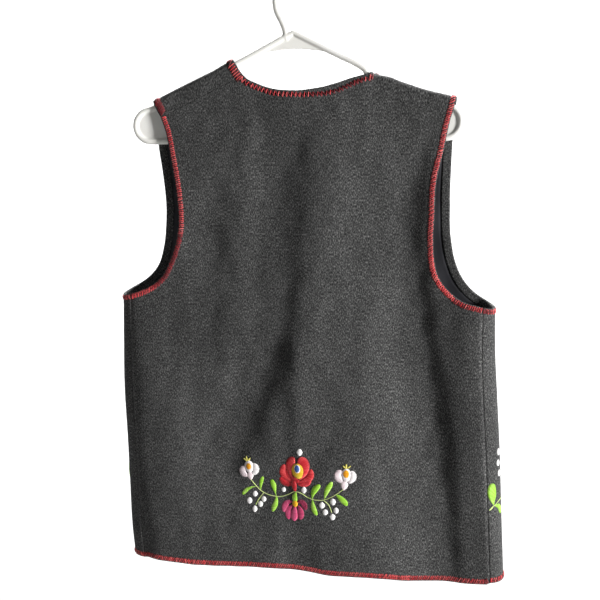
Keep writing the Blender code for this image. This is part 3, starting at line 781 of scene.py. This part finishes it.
def threadFinish(name):
    # twisted floss: colour by the stitch's tone, fine fibres along it, and the ply's slant as
    # sin(6 * mm along + turn round the thread), which also lightens and darkens the colour a little
    # as painted shade on the ply's ridges
    made = Finish(name + "Floss", Roughness=0.5, Sheen_Weight=0.3, Sheen_Roughness=0.35)
    tone = made.node("ShaderNodeAttribute", {"attribute_name": "tone"}, None, 2)
    strand = made.node("ShaderNodeAttribute", {"attribute_name": "strand"}, None, 1)
    part = [made.node("ShaderNodeSeparateXYZ", None, {0: strand}, k) for k in range(3)]
    turn = made.maths("ARCTAN2", part[2], part[1])
    ply = made.maths("SINE", part[0] * 6.0 + turn, 0.0)
    fibre = made.node("ShaderNodeMapping", None, {"Vector": strand, "Scale": (1.2, 5.0, 5.0)})
    fibre = made.noise(fibre, 1.0, 3.0, 0.6)
    dark, middle, pale = thread[name]
    # ply * 0.05 is painted shade on the ply's ridges
    shade = tone + fibre * 0.3 + ply * 0.05 - 0.15
    made.set("Base Color", made.ramp(shade, [(0.0, dark), (0.5, middle), (1.0, pale)]))
    made.set("Normal", made.bump(ply * 0.5 + fibre, 0.35, 0.0002))
    return made


floss = {name: threadFinish(name) for name in thread}


def makeThreads(name, runs, colour):
    # closed tubes along stitches: middle + radius * (cos(turn) to the side + sin(turn) up);
    # a run is (middles, ups, radii, tones), and its first axis is the stitch
    points, quads, tones, strands = [], [], [], []
    start = 0
    turn = np.linspace(0.0, 2.0 * math.pi, threadSides, endpoint=False)
    across, upward = np.cos(turn), np.sin(turn)
    here = np.arange(threadSides)
    ahead = (here + 1) % threadSides
    for middle, up, radius, tone in runs:
        count, length = middle.shape[:2]
        run = unit(np.gradient(middle, axis=1))
        side = unit(np.cross(run, up))
        lift = np.cross(side, run)
        ring = side[:, :, None] * across[:, None] + lift[:, :, None] * upward[:, None]
        points.append((middle[:, :, None] + ring * radius[..., None, None]).reshape(-1, 3))
        first = start + np.arange(count)[:, None, None] * length * threadSides
        row = first + np.arange(length - 1)[None, :, None] * threadSides
        wall = [row + here, row + ahead, row + threadSides + ahead, row + threadSides + here]
        quads.append(np.stack(wall, -1).reshape(-1, 4))
        last = first[:, 0] + (length - 1) * threadSides
        for cap in ((0, 1, 2, 3), (0, 3, 4, 5)):
            quads.append(last + np.array(cap))
            quads.append(first[:, 0] + np.array(cap[::-1]))
        start += count * length * threadSides
        gone = np.linalg.norm(np.diff(middle, axis=1), axis=-1)
        gone = np.concatenate([np.zeros((count, 1)), np.cumsum(gone, axis=1)], axis=1) * 1000.0
        gone = gone + fibreShift * np.arange(count)[:, None]
        gone = np.broadcast_to(gone[:, :, None], (count, length, threadSides))
        strand = np.stack([gone, gone * 0.0 + across, gone * 0.0 + upward], -1)
        strands.append(strand.reshape(-1, 3))
        tones.append(np.broadcast_to(np.reshape(tone, (count, -1, 1)), gone.shape).ravel())
    marks = {"tone": np.concatenate(tones), "strand": np.concatenate(strands)}
    made = meshFrom(name, np.concatenate(points), np.concatenate(quads), floss[colour], None, marks)
    return declare(made, colour + "_thread")


def laid(face, flat, rise):
    # pattern points to space, rise above the felt's outer face, with the felt's normal there
    up = feltNormal(face, flat[..., 0], flat[..., 1])
    place = rippled(face, flat[..., 0], flat[..., 1])
    return place + up * (felt["wall"] + rise)[..., None], up


# stitched edges

edging = {
    "pitch": 0.005,
    "outer": 0.0005,
    "inner": 0.0073,
    "lean": 0.34,  # of the pitch, so that strokes run steep and slant by turns
    "radius": 0.00054,
    "lift": 0.00085,
    "dip": 0.0007,
    "steps": 7,
    "even": 0.0045,  # the edge's direction is the mean over this far each way
    "wander": 0.00035,
    "clear": 0.001,  # needle holes stay this far inside the edge's ends
    "pale": (0.52, 0.98),  # strokes that rise to the right, seen from behind: painted sheen, as if these strokes catch the light
    # the other strokes: painted shade, as if they turn away from the light
    "dark": (-0.05, 0.16),
    "underRadius": 0.00052,
    "underLift": 0.0004,
}
chance = np.random.default_rng(7)


def followEdge(edge, at, inward):
    # points at distances along an edge, and the unit direction off it towards the panel
    edge = np.asarray(edge)
    marks = np.concatenate([[0.0], np.cumsum(np.linalg.norm(np.diff(edge, axis=0), axis=1))])
    place = np.stack([np.interp(at, marks, edge[:, k]) for k in range(2)], -1)
    far = [np.stack([np.interp(np.clip(at + step, 0.0, marks[-1]), marks, edge[:, k])
                     for k in range(2)], -1) for step in (-edging["even"], edging["even"])]
    run = unit(far[1] - far[0])
    off = np.stack([-run[:, 1], run[:, 0]], -1)
    if np.einsum("ij,ij->", off, inward - place) < 0.0:
        off = -off
    return place, off


armBand = {
    # inside an armhole: reaches from its edge and wall of the felt facing and of the near-black
    # lining, whose colour is painted shade
    "facing": ((0.0006, 0.0106), 0.0009),
    "lining": ((0.0106, 0.036), 0.0003),
    "clear": 0.00005,
    "thinnest": 0.3,  # share of the wall at the shoulder
    "thin": 0.02,  # and it grows to the whole wall over about this far
    "step": 0.003,
    "across": 6,
}


def makeFacing(name, cut, start, finish, reach, wall):
    # a band inside a front's armhole between two reaches from its edge, thinner over its first
    # stretch at the shoulder; start is the cut's row where the armhole starts
    armhole = cut[start:start + armRows, 0]
    length = np.linalg.norm(np.diff(armhole, axis=0), axis=1).sum()
    at = np.linspace(0.0, length, int(length / armBand["step"]))
    place, off = followEdge(armhole, at, cut.reshape(-1, 2).mean(axis=0))
    depth = reach[0] + (reach[1] - reach[0]) * shares(armBand["across"])
    band = place[:, None] + off[:, None] * depth[:, None]
    thinnest = armBand["thinnest"]
    wall = wall * np.clip(thinnest + at / armBand["thin"], thinnest, 1.0)
    low = np.repeat(-wall - armBand["clear"], len(depth))
    top = np.full(len(low), -armBand["clear"])
    return declare(makeShell(name, "front", band, finish, low, top), "felt")


def edgeStitches(face, edge, inward, under, margin):
    # zigzag over an edge: strokes between an outer and an inner row of needle holes; the under
    # thread runs the other way, so that the two cross; the margin outside them is wider by
    # most * exp(-((girth - middle) / spread)^2)
    length = np.linalg.norm(np.diff(edge, axis=0), axis=1).sum()
    count = int(length / edging["pitch"])
    pitch = length / count
    runs = []
    for turned in ((False, True) if under else (False,)):
        k = np.arange(-2, 2 * count + 2)
        lean = edging["lean"] * pitch * np.where(k % 2 == 1, 1.0, 0.0)
        at = (0.25 + 0.5 * k) * pitch + (0.5 * pitch * turned) + lean
        at = at + chance.normal(0.0, edging["wander"], len(at))
        at = np.clip(at, edging["clear"], length - edging["clear"])
        place, off = followEdge(edge, at, inward)
        depth = np.where(k % 2 == 1, edging["inner"], edging["outer"])
        depth = depth + chance.normal(0.0, 0.5 * edging["wander"], len(k))
        least, most, middle, spread = margin
        depth = depth + least + most * np.exp(-((place[:, 0] - middle) / spread) ** 2)
        holes = place + off * depth[:, None]
        share = np.linspace(0.0, 1.0, edging["steps"])
        flat = holes[:-1, None] + (holes[1:] - holes[:-1])[:, None] * share[None, :, None]
        arch = np.sqrt(np.sin(np.pi * share))
        top = edging["underLift"] if turned else edging["lift"]
        rise = np.broadcast_to((top + edging["dip"]) * arch - edging["dip"], flat.shape[:2])
        middle, up = laid(face, flat, rise)
        thick = edging["underRadius"] if turned else edging["radius"]
        radius = np.broadcast_to(thick * (0.75 + 0.25 * arch), flat.shape[:2])
        gone = holes[1:] - holes[:-1]
        # strokes that rise to the right get the pale tones as painted sheen, the others the dark
        # tones as painted shade
        pale = (gone[:, 0] * gone[:, 1] < 0.0)[:, None]
        tone = np.where(pale, edging["pale"], edging["dark"])
        tone = tone[:, 0] + (tone[:, 1] - tone[:, 0]) * chance.uniform(0.0, 1.0, len(flat))
        runs.append((middle, up, radius, tone))
    return runs


def makeEdging(name, face, cut, edges):
    # each edge: points of the panel's cut, whether a second thread runs under the first, and
    # the margin outside them
    inward = cut.reshape(-1, 2).mean(axis=0)
    runs = []
    for edge, under, margin in edges:
        runs += edgeStitches(face, edge, inward, under, margin)
    return makeThreads(name, runs, "red")


neckCells = slice(cells["shoulder"], cells["shoulder"] + cells["neck"] + 1)
armRows = cells["armhole"] + 1
noMargin = (0.0, 0.0, 0.0, 1.0)
backEdging = makeEdging("backEdging", "back", backPattern, [
    (backPattern[0, neckCells], False, (0.001, 0.0044, -0.04, 0.028)),
    (backPattern[:armRows, 0], True, noMargin),
    (backPattern[:armRows, -1], True, noMargin),
    (backPattern[-1], True, noMargin),
])
leftEdging, rightEdging = (
    makeEdging(name, "front", cut, [(cut[:, -1], False, noMargin), (cut[:rows, 0], True, noMargin),
                                    (cut[-1], True, noMargin)])
    for name, cut, rows in (("leftEdging", leftPattern, armRows + cells["wrap"]),
                            ("rightEdging", rightPattern, armRows)))
# the felt facing, and behind it the near-black lining as painted shade deep in the armhole
facings = [
    [makeFacing(name + layer.capitalize(), cut, start, finish, *armBand[layer])
     for layer, finish in (("facing", wool), ("lining", shadeSheet))]
    for name, cut, start in (("left", leftPattern, cells["wrap"]), ("right", rightPattern, 0))
]
print("edges stitched and faced")


# embroidery

satin = {
    "pitch": 0.00042,
    "radius": 0.0003,
    "pad": 0.11,  # of a shape's width, at its middle
    "padMost": 0.00085,
    "dip": 0.00018,
    "level": 0.0004,
    "across": (-1.0, -0.62, 0.0, 0.62, 1.0),
    "end": 0.6,  # share of the radius at a stitch's ends, and of a level that they drop
    "wander": 0.00012,  # of a stitch's half width, which is never under the least
    "least": 0.0003,
    "fleck": 0.1,
    "shade": 0.1,  # tone from one side of a shape to the other: partly the thread's own darker half, partly painted shade on the side away from the light
}
stemStitch = {
    "length": 0.0036,
    "step": 0.0016,
    "steps": 5,
    "radius": 0.00046,
    "slip": 0.00022,  # a stitch starts this far to one side and ends as far to the other
    "rise": 0.00028,
    "tone": 0.94,
}
rose = [
    # thread, root, middle, tip, width, widest at, tone, level, slant; millimetres
    ("red", (1.5, 12.9), (15.4, 19.2), (14.6, 34.6), 10.6, 0.62, 0.62, 0, 12),
    ("red", (-2.7, 13.1), (-16.6, 18.8), (-18.6, 30.8), 9.8, 0.62, 0.54, 0, -12),
    ("red", (2.6, 9.8), (13.2, 9.6), (20.2, 17.4), 9.4, 0.6, 0.4, 0, 12),
    ("red", (-2.3, 10.4), (-11.2, 11.2), (-18.4, 18.4), 9.2, 0.6, 0.46, 0, -12),
    ("red", (-4.2, 12.6), (0, 15.4), (3.6, 20.2), 8.4, 0.5, 0.44, 0, 8),
    ("red", (1.8, 14.6), (10.6, 19.6), (12.6, 32), 6.4, 0.6, 0.4, 0, 12),
    ("red", (1.2, 14.4), (8.2, 29.4), (1.4, 44.8), 12.4, 0.72, 0.58, 1, 10),
    ("red", (-2.6, 14.8), (-10.6, 30.4), (-3.6, 44), 15.6, 0.72, 0.5, 1, -10),
    ("red", (1.3, 14.6), (1.9, 8.5), (0.4, 0.6), 6.6, 0.44, 0.48, 2, 0),
    ("yellow", (-3.4, 18.4), (-3.2, 28), (-3, 37.8), 18.4, 0.5, 0.5, 2, 4),
    ("white", (-2.6, 25), (-2.6, 31), (-2.5, 37), 9, 0.52, 0.6, 3, 0),
    ("blue", (-2.4, 26.6), (-2.4, 31.1), (-2.4, 35.8), 7, 0.5, 0.5, 4, 0),
]
tulip = [
    ("pink", (3.2, -14.8), (11.8, -16.6), (16.4, -28.4), 9, 0.64, 0.6, 0, 12),
    ("pink", (-1.3, -13.8), (-8.8, -14), (-13.2, -22.8), 8.4, 0.58, 0.16, 0, -12),
    ("pink", (3, -17.6), (9.4, -26), (9.6, -37.6), 9, 0.64, 0.56, 0, 10),
    ("pink", (-2, -17.6), (-6.4, -25.4), (-5.8, -36), 8.2, 0.62, 0.4, 0, -10),
    ("pink", (0.7, -18.4), (1.8, -28.4), (2.6, -38.8), 9.8, 0.64, 0.66, 1, 0),
    ("green", (-0.6, -0.6), (0.8, -6), (2.2, -13.4), 8.2, 0.64, 0.52, 1, 25),
    ("yellow", (0.8, -11.6), (0.8, -15.8), (0.8, -20), 7.2, 0.5, 0.36, 2, 0),
]
leftBud = [
    ("white", (57.2, 19.4), (51.8, 25.6), (55.4, 33.4), 9.2, 0.58, 0.74, 0, 8),
    ("white", (61.4, 17.6), (68.2, 20.8), (67.4, 29), 10, 0.58, 0.42, 0, -8),
    ("white", (58.4, 11.4), (58.8, 15.9), (59.6, 22.4), 8.4, 0.62, 0.4, 0, 0),
    ("white", (59.6, 21.6), (60.4, 29.1), (61, 36.8), 12.2, 0.5, 0.64, 1, 0),
    ("yellow", (60.5, 25), (60.7, 29.6), (61, 34.2), 8.2, 0.5, 0.1, 2, 0),
    ("yellow", (62.6, 35.8), (65, 37.2), (67.2, 38.8), 1.6, 0.5, 0.92, 2, 0),
    ("yellow", (62.4, 36.2), (63.2, 39), (63.9, 42.2), 1.8, 0.5, 0.88, 2, 0),
    ("yellow", (61.6, 36.2), (60.2, 38.2), (58.6, 40.6), 1.7, 0.5, 0.92, 2, 0),
]
rightBud = [
    ("white", (-60.2, 16.4), (-52.8, 23.8), (-57.4, 32.2), 9.8, 0.56, 0.44, 0, 8),
    ("white", (-66.6, 16.2), (-71.8, 23.8), (-68.8, 31.4), 9, 0.56, 0.74, 0, -8),
    ("white", (-60.6, 6.8), (-61, 12), (-61.9, 18.6), 9.8, 0.62, 0.4, 0, 0),
    ("white", (-63.6, 17.8), (-63.5, 26.2), (-63.4, 35), 12.8, 0.5, 0.66, 1, 0),
    ("yellow", (-63.4, 22.6), (-63.4, 28), (-63.3, 33.6), 9.6, 0.5, 0.1, 2, 0),
    ("yellow", (-63, 35), (-61.2, 36.8), (-59.6, 38.8), 1.6, 0.5, 0.92, 2, 0),
    ("yellow", (-63.4, 35.2), (-63.5, 38), (-63.4, 41), 1.9, 0.5, 0.86, 2, 0),
    ("yellow", (-64.4, 35), (-66.6, 37), (-69, 38.8), 1.6, 0.5, 0.92, 2, 0),
]
leaves = [
    ("green", (52, 2.4), (61.2, -0.4), (70.4, -9.2), 6.2, 0.72, 0.54, 0, 30),
    ("green", (46.2, -3), (45.8, 7), (43.4, 17.2), 5.8, 0.7, 0.44, 0, -30),
    ("green", (25.6, -8.4), (28.8, 2), (30.6, 13.2), 8.4, 0.76, 0.46, 0, 30),
    ("green", (25.6, -8.4), (27.2, -18.8), (30.4, -29.2), 7.8, 0.6, 0.56, 0, -30),
    ("green", (-21.4, -7.4), (-23.3, 2), (-29.8, 12.8), 9.2, 0.66, 0.44, 0, -30),
    ("green", (-21.8, -7.8), (-22.8, -18), (-26, -28.4), 8, 0.66, 0.54, 0, 30),
    ("green", (-36.6, -6.6), (-39.8, 5), (-45.2, 17.2), 8.6, 0.66, 0.5, 0, -30),
    ("green", (-51, 0.6), (-57.4, -3.8), (-63.8, -13.2), 9, 0.62, 0.46, 0, 30),
]
dots = [
    # x, height, width, length
    (53.9, -7.4, 6.8, 7.8), (61.2, -17.2, 7.2, 8.2), (42.2, -13.8, 6.6, 7.4),
    (46.8, -20.8, 6.9, 7.6), (54.1, -27.6, 6.6, 8.2), (16.4, 0.8, 5.8, 6.6),
    (-10.2, 3.2, 6.6, 8.4), (-4.7, 52.3, 7, 8.8), (-33.2, -14.6, 7.6, 8.2),
    (-47.2, -9, 7.4, 8.6), (-37.5, -23.2, 7.2, 7.4), (-51.2, -19.9, 6.6, 8),
    (-46.7, -28.8, 7.4, 8),
]
vines = [
    [(59, 13), (51.9, 3.6), (45.2, -3.2), (38.4, -6.4), (29.4, -8.4), (18, -8.3),
     (9.8, -5), (0, 0), (-6.6, -1.4), (-14.6, -5.9), (-20.7, -7.8), (-26.7, -8.4),
     (-36.2, -7.2), (-44.2, -3.6), (-51.2, 1), (-60.1, 8)],
    [(42.2, -5.4), (48.2, -13.4), (52.8, -22)],
    [(-35.3, -8), (-41.8, -13.4), (-45.8, -23)],
]
sprig = [
    # the outer end of a front's spray, beside the side seam
    ("green", (-143, -9), (-145.6, 4), (-141, 17), 16.6, 0.7, 0.46, 0, -30),
    ("green", (-143, -9.5), (-134, -13), (-130, -22), 8, 0.62, 0.5, 0, 20),
    ("green", (-143.5, -9), (-146.5, -12), (-149.5, -14.5), 2.4, 0.6, 0.9, 0, 20),
]
sprigDots = [(-131.5, 57.2, 7, 8.6), (-133.5, 43.7, 6.8, 8), (-131.5, 30.2, 6.8, 8)]
sprigVines = [[(-51.2, 1.2), (-66, -2), (-84, -9), (-104, -9), (-124, -4),
               (-134, -4.5), (-143, -9.5)]]


def satinShape(face, seat, row):
    # stitches across a spine: half the width is half * sqrt(sin(pi * share^power)), which is
    # widest where share^power is a half; each stitch arches over a pad
    name, root, middle, tip, width, widest, tone, level, slant = row
    root, middle, tip = (np.array(point) * 0.001 for point in (root, middle, tip))
    bend = 2.0 * middle - 0.5 * (root + tip)
    t = np.linspace(0.0, 1.0, 60)[:, None]
    spine = root * (1.0 - t) ** 2 + bend * 2.0 * t * (1.0 - t) + tip * t ** 2
    length = np.linalg.norm(np.diff(spine, axis=0), axis=1).sum()
    count = max(int(length / satin["pitch"]), 3)
    share = (np.arange(count) + 0.5) / count
    centre = along(spine, share)
    run = unit(np.gradient(centre, axis=0))
    turn = math.radians(90.0 + slant)
    across = run @ np.array([[math.cos(turn), math.sin(turn)], [-math.sin(turn), math.cos(turn)]])
    power = math.log(0.5) / math.log(widest)
    half = 0.0005 * width * np.sqrt(np.sin(np.pi * share ** power))
    half = np.maximum(half + chance.normal(0.0, satin["wander"], count), satin["least"])
    u = np.array(satin["across"])
    ends = np.abs(u) > 0.99
    offset = centre[:, None] + across[:, None] * (half[:, None] * u)[..., None]
    pad = np.minimum(satin["pad"] * 2.0 * half, satin["padMost"])[:, None]
    rise = pad * np.sqrt(1.0 - u ** 2) - satin["dip"] + satin["level"] * level
    rise = np.where(ends, rise - satin["end"] * satin["level"] * (level > 0), rise)
    lay, up = laid(face, seat(offset), rise)
    radius = np.broadcast_to(satin["radius"] * np.where(ends, satin["end"], 1.0), rise.shape)
    # random tone per stitch, plus the side-to-side tone that is partly painted shade
    shade = tone + chance.normal(0.0, satin["fleck"], count)[:, None] + satin["shade"] * u
    return name, (lay, up, radius, shade)


def stemRun(face, seat, route):
    # stem stitch: each stitch starts beside the one before it and ends further on
    route = np.array(route) * 0.001
    length = np.linalg.norm(np.diff(route, axis=0), axis=1).sum()
    start = np.arange(0.0, length - stemStitch["step"], stemStitch["step"])
    share = np.linspace(0.0, 1.0, stemStitch["steps"])
    at = np.clip((start[:, None] + stemStitch["length"] * share) / length, 0.0, 1.0)
    centre = along(route, at.ravel()).reshape(at.shape + (2,))
    run = unit(np.gradient(centre, axis=1) + 1e-9)
    side = np.stack([-run[..., 1], run[..., 0]], -1)
    centre = centre + side * (stemStitch["slip"] * (1.0 - 2.0 * share))[None, :, None]
    arch = np.sin(np.pi * share)
    rise = np.broadcast_to(stemStitch["rise"] * (1.6 * arch - 0.6), at.shape)
    lay, up = laid(face, seat(centre), rise)
    radius = np.broadcast_to(stemStitch["radius"] * (0.6 + 0.4 * arch), at.shape)
    shade = stemStitch["tone"] + chance.normal(0.0, satin["fleck"], len(start))
    return "green", (lay, up, radius, shade)


def makeSpray(name, face, seat, shapes, whites, stems):
    # one mesh for each thread colour
    runs = {}
    rows = list(shapes)
    for x, height, width, length in whites:
        ends = ((x, height - 0.5 * length), (x, height), (x, height + 0.5 * length))
        rows.append(("white", *ends, width, 0.5, 0.9, 1, 0))
    for row in rows:
        colour, run = satinShape(face, seat, row)
        runs.setdefault(colour, []).append(run)
    for stem in stems:
        colour, run = stemRun(face, seat, stem)
        runs.setdefault(colour, []).append(run)
    return [makeThreads(name + colour.capitalize(), group, colour)
            for colour, group in runs.items()]


seats = {
    # the drawing's scale and middle on the back; on a front, the side that its outer end
    # points to, its middle's girth and its height
    "back": ((1.012, 1.004), (-0.0081, -0.6509)),
    "left": (1.0, 0.112, -0.65),
    "right": (-1.0, 0.1362, -0.65),
}


def backSeat(offset):
    # the drawing on the back's cut
    scale, middle = seats["back"]
    place = offset * scale + middle
    return np.stack([place[..., 0] - middleX(place[..., 1]), place[..., 1]], -1)


def frontSeat(side, reach, height):
    # the same drawing on a front, its outer end towards the side seam
    def seat(offset):
        return np.stack([side * (reach - offset[..., 0]), offset[..., 1] + height], -1)
    return seat


spray = rose + tulip + leftBud + rightBud + leaves
backSpray = makeSpray("backSpray", "back", backSeat, spray, dots, vines)
leftSpray, rightSpray = (
    makeSpray(side + "Spray", "front", frontSeat(*seats[side]), spray + sprig, dots + sprigDots,
              vines + sprigVines) for side in ("left", "right"))
print("embroidery made")


# hanger

hanger = {
    "rim": 0.004,
    "hookRod": 0.0041,
    "hookRadius": 0.0225,
    "hookEnd": math.radians(212),
    "bendRadius": 0.0195,
    "bendMiddle": (0.1855, -0.188),
    "arm": [(0.0, -0.0777), (0.027, -0.0913), (0.054, -0.105), (0.0808, -0.1185),
            (0.0888, -0.1243), (0.0925, -0.133), (0.0978, -0.1408), (0.108, -0.1448)],
    "stem": [(0.009, -0.084), (0.0105, -0.074), (0.015, -0.063), (0.0205, -0.052),
             (0.0225, -0.04), (0.0225, -0.029)],
    "web": 0.0028,
    "webReach": 0.148,
    "peakWebHalf": 0.056,
    "peakWebFoot": -0.0975,
    "webFrom": math.radians(70),
    "sides": 16,
    "domeTurn": 1.45,
    "domeRings": 4,
    "counts": {"end": 40, "hook": 60, "peakWeb": 30, "endWeb": 24},
    "armStep": 0.004,
    "stemStep": 0.002,
    "voxel": 0.0009,
    "ease": 5,
}


def arcPoints(middle, radius, start, end, count):
    turn = np.linspace(start, end, count)
    return np.stack([middle[0] + radius * np.cos(turn), middle[1] + radius * np.sin(turn)], -1)


def evenRoute(points, step):
    # a route resampled on a smooth curve, about one step apart
    length = np.linalg.norm(np.diff(np.asarray(points), axis=0), axis=1).sum()
    return along(points, shares(int(length / step)))


def rodMesh(route, radius, closed):
    # a circle carried along a flat route: middle + radius * (cos along the side, sin along Y);
    # an open rod ends in domes, whose circles shrink by the cosine
    dome = np.linspace(0.0, hanger["domeTurn"], hanger["domeRings"] + 1)[1:]
    size = np.full(len(route), radius)
    if closed:
        run = unit(np.roll(route, -1, axis=0) - np.roll(route, 1, axis=0))
    else:
        run = unit(np.gradient(route, axis=0))
        head = route[-1] + run[-1] * radius * np.sin(dome)[:, None]
        tail = route[0] - run[0] * radius * np.sin(dome[::-1])[:, None]
        size = np.concatenate([radius * np.cos(dome[::-1]), size, radius * np.cos(dome)])
        first, last = (np.repeat(end, len(dome), 0) for end in (run[:1], run[-1:]))
        run = np.concatenate([first, run, last])
        route = np.concatenate([tail, route, head])
    none = np.zeros(len(route))
    middle = np.stack([route[:, 0], none, route[:, 1]], -1)
    side = np.stack([-run[:, 1], none, run[:, 0]], -1)
    sides = hanger["sides"]
    turn = np.linspace(0.0, 2.0 * math.pi, sides, endpoint=False)[None, :, None]
    ring = side[:, None] * np.cos(turn) + np.array([0.0, 1.0, 0.0]) * np.sin(turn)
    points = (middle[:, None] + ring * size[:, None, None]).reshape(-1, 3)
    rows = len(route) if closed else len(route) - 1
    first = np.arange(rows)[:, None] * sides
    after = ((np.arange(rows) + 1) % len(route))[:, None] * sides
    here = np.arange(sides)[None, :]
    ahead = (here + 1) % sides
    faces = np.stack([first + here, first + ahead, after + ahead, after + here], -1)
    faces = faces.reshape(-1, 4).tolist()
    if not closed:
        faces.append(list(range(sides))[::-1])
        faces.append(list(range(len(points) - sides, len(points))))
    return points, faces


def webMesh(outline):
    # a flat web: its outline at half the web's thickness on both sides
    outline = np.asarray(outline)
    count = len(outline)
    half = np.full(count, 0.5 * hanger["web"])
    near = np.stack([outline[:, 0], -half, outline[:, 1]], -1)
    far = np.stack([outline[:, 0], half, outline[:, 1]], -1)
    faces = [list(range(count)), list(range(2 * count - 1, count - 1, -1))]
    for k in range(count):
        after = (k + 1) % count
        faces.append([k, k + count, after + count, after])
    return np.concatenate([near, far]), faces


def makeHanger():
    # rods and webs joined by a voxel remesh, then eased so that they run into each other
    arm = evenRoute(hanger["arm"], hanger["armStep"])
    bend = hanger["bendMiddle"]
    counts = hanger["counts"]
    away = np.subtract(bend, arm[-1])
    leave = math.atan2(away[1], away[0])
    leave += math.asin(hanger["bendRadius"] / math.hypot(*away)) + 0.5 * math.pi
    end = arcPoints(bend, hanger["bendRadius"], leave, -0.5 * math.pi, counts["end"])
    half = np.concatenate([arm, end])
    rim = np.concatenate([half, half[:0:-1] * (-1.0, 1.0)])
    hookMiddle = (0.0, hanger["rim"] - hanger["hookRadius"])
    hook = arcPoints(hookMiddle, hanger["hookRadius"], 0.0, hanger["hookEnd"], counts["hook"])
    stem = evenRoute(hanger["stem"] + [tuple(hook[0])], hanger["stemStep"])
    hook = np.concatenate([stem[:-1], hook])

    slope = (hanger["arm"][2][1] - hanger["arm"][0][1]) / hanger["arm"][2][0]
    peak = hanger["arm"][0][1]
    reach = hanger["peakWebHalf"]
    across = np.linspace(reach, -reach, counts["peakWeb"])
    foot = hanger["peakWebFoot"]
    foot = foot + (peak + slope * reach - foot) * (across / reach)**2
    pieces = [
        rodMesh(rim, hanger["rim"], True),
        rodMesh(hook, hanger["hookRod"], False),
        webMesh(np.concatenate([[(0.0, peak)], np.stack([across, foot], -1)])),
    ]
    turns = arcPoints(bend, hanger["bendRadius"], hanger["webFrom"], -0.5 * math.pi,
                      counts["endWeb"])
    fall = (arm[-1][1] - turns[0][1]) / (arm[-1][0] - turns[0][0])
    top = turns[0][1] + fall * (hanger["webReach"] - turns[0][0])
    corners = [(hanger["webReach"], turns[-1][1]), (hanger["webReach"], top)]
    outline = np.concatenate([turns, corners])
    pieces.append(webMesh(outline))
    pieces.append(webMesh(outline[::-1] * (-1.0, 1.0)))

    points, faces = [], []
    for piecePoints, pieceFaces in pieces:
        faces += [[k + len(points) for k in face] for face in pieceFaces]
        points += piecePoints.tolist()
    mesh = bpy.data.meshes.new("plasticHanger")
    mesh.from_pydata(points, [], faces)
    made = bpy.data.objects.new("plasticHanger", mesh)
    bpy.context.scene.collection.objects.link(made)
    remesh = made.modifiers.new("remesh", "REMESH")
    remesh.mode = "VOXEL"
    remesh.voxel_size = hanger["voxel"]
    remesh.use_smooth_shade = True
    ease = made.modifiers.new("ease", "SMOOTH")
    ease.factor = 0.5
    ease.iterations = hanger["ease"]
    bpy.context.view_layer.update()
    solid = made.evaluated_get(bpy.context.evaluated_depsgraph_get())
    made.data = bpy.data.meshes.new_from_object(solid)
    made.modifiers.clear()
    made.data.shade_smooth()
    made.data.materials.clear()
    made.data.materials.append(cream.material)
    return made


plasticHanger = declare(makeHanger(), "hanger_plastic", "hanger")
print("hanger made,", len(plasticHanger.data.polygons), "faces")


# floor

sweep = {
    "middle": (0.02, 1.0),  # radii of the first two rings
    "flat": 2.6,
    "wall": 4.2,
    "height": 3.4,
    "rings": 16,
    "around": 64,
    "colour": (0.3, 0.3, 0.298),
}


def makeSweep():
    # a round floor that curves up to a wall: radius and height follow a quarter ellipse; the key
    # lamp shines through it from further off
    turn = np.linspace(0.0, 0.5 * math.pi, sweep["rings"])
    radius = sweep["flat"] + (sweep["wall"] - sweep["flat"]) * np.sin(turn)
    radius = np.concatenate([sweep["middle"], radius])
    height = np.concatenate([[0.0, 0.0], sweep["height"] * (1.0 - np.cos(turn))]) + studio["floor"]
    around = np.linspace(0.0, 2.0 * math.pi, sweep["around"] + 1)
    points = np.stack([radius[:, None] * np.cos(around), radius[:, None] * np.sin(around),
                       height[:, None] + 0.0 * around], -1).reshape(-1, 3)
    mesh = bpy.data.meshes.new("studioFloor")
    mesh.from_pydata(points.tolist(), [], gridQuads(len(radius), len(around))[:, ::-1].tolist())
    mesh.shade_smooth()
    made = bpy.data.objects.new("studioFloor", mesh)
    bpy.context.scene.collection.objects.link(made)
    pale = Finish("palePaper", Roughness=0.9)
    pale.set("Base Color", sweep["colour"])
    mesh.materials.append(pale.material)
    made.visible_shadow = False
    return made


makeSweep()
print("floor made")

bpy.context.view_layer.update()
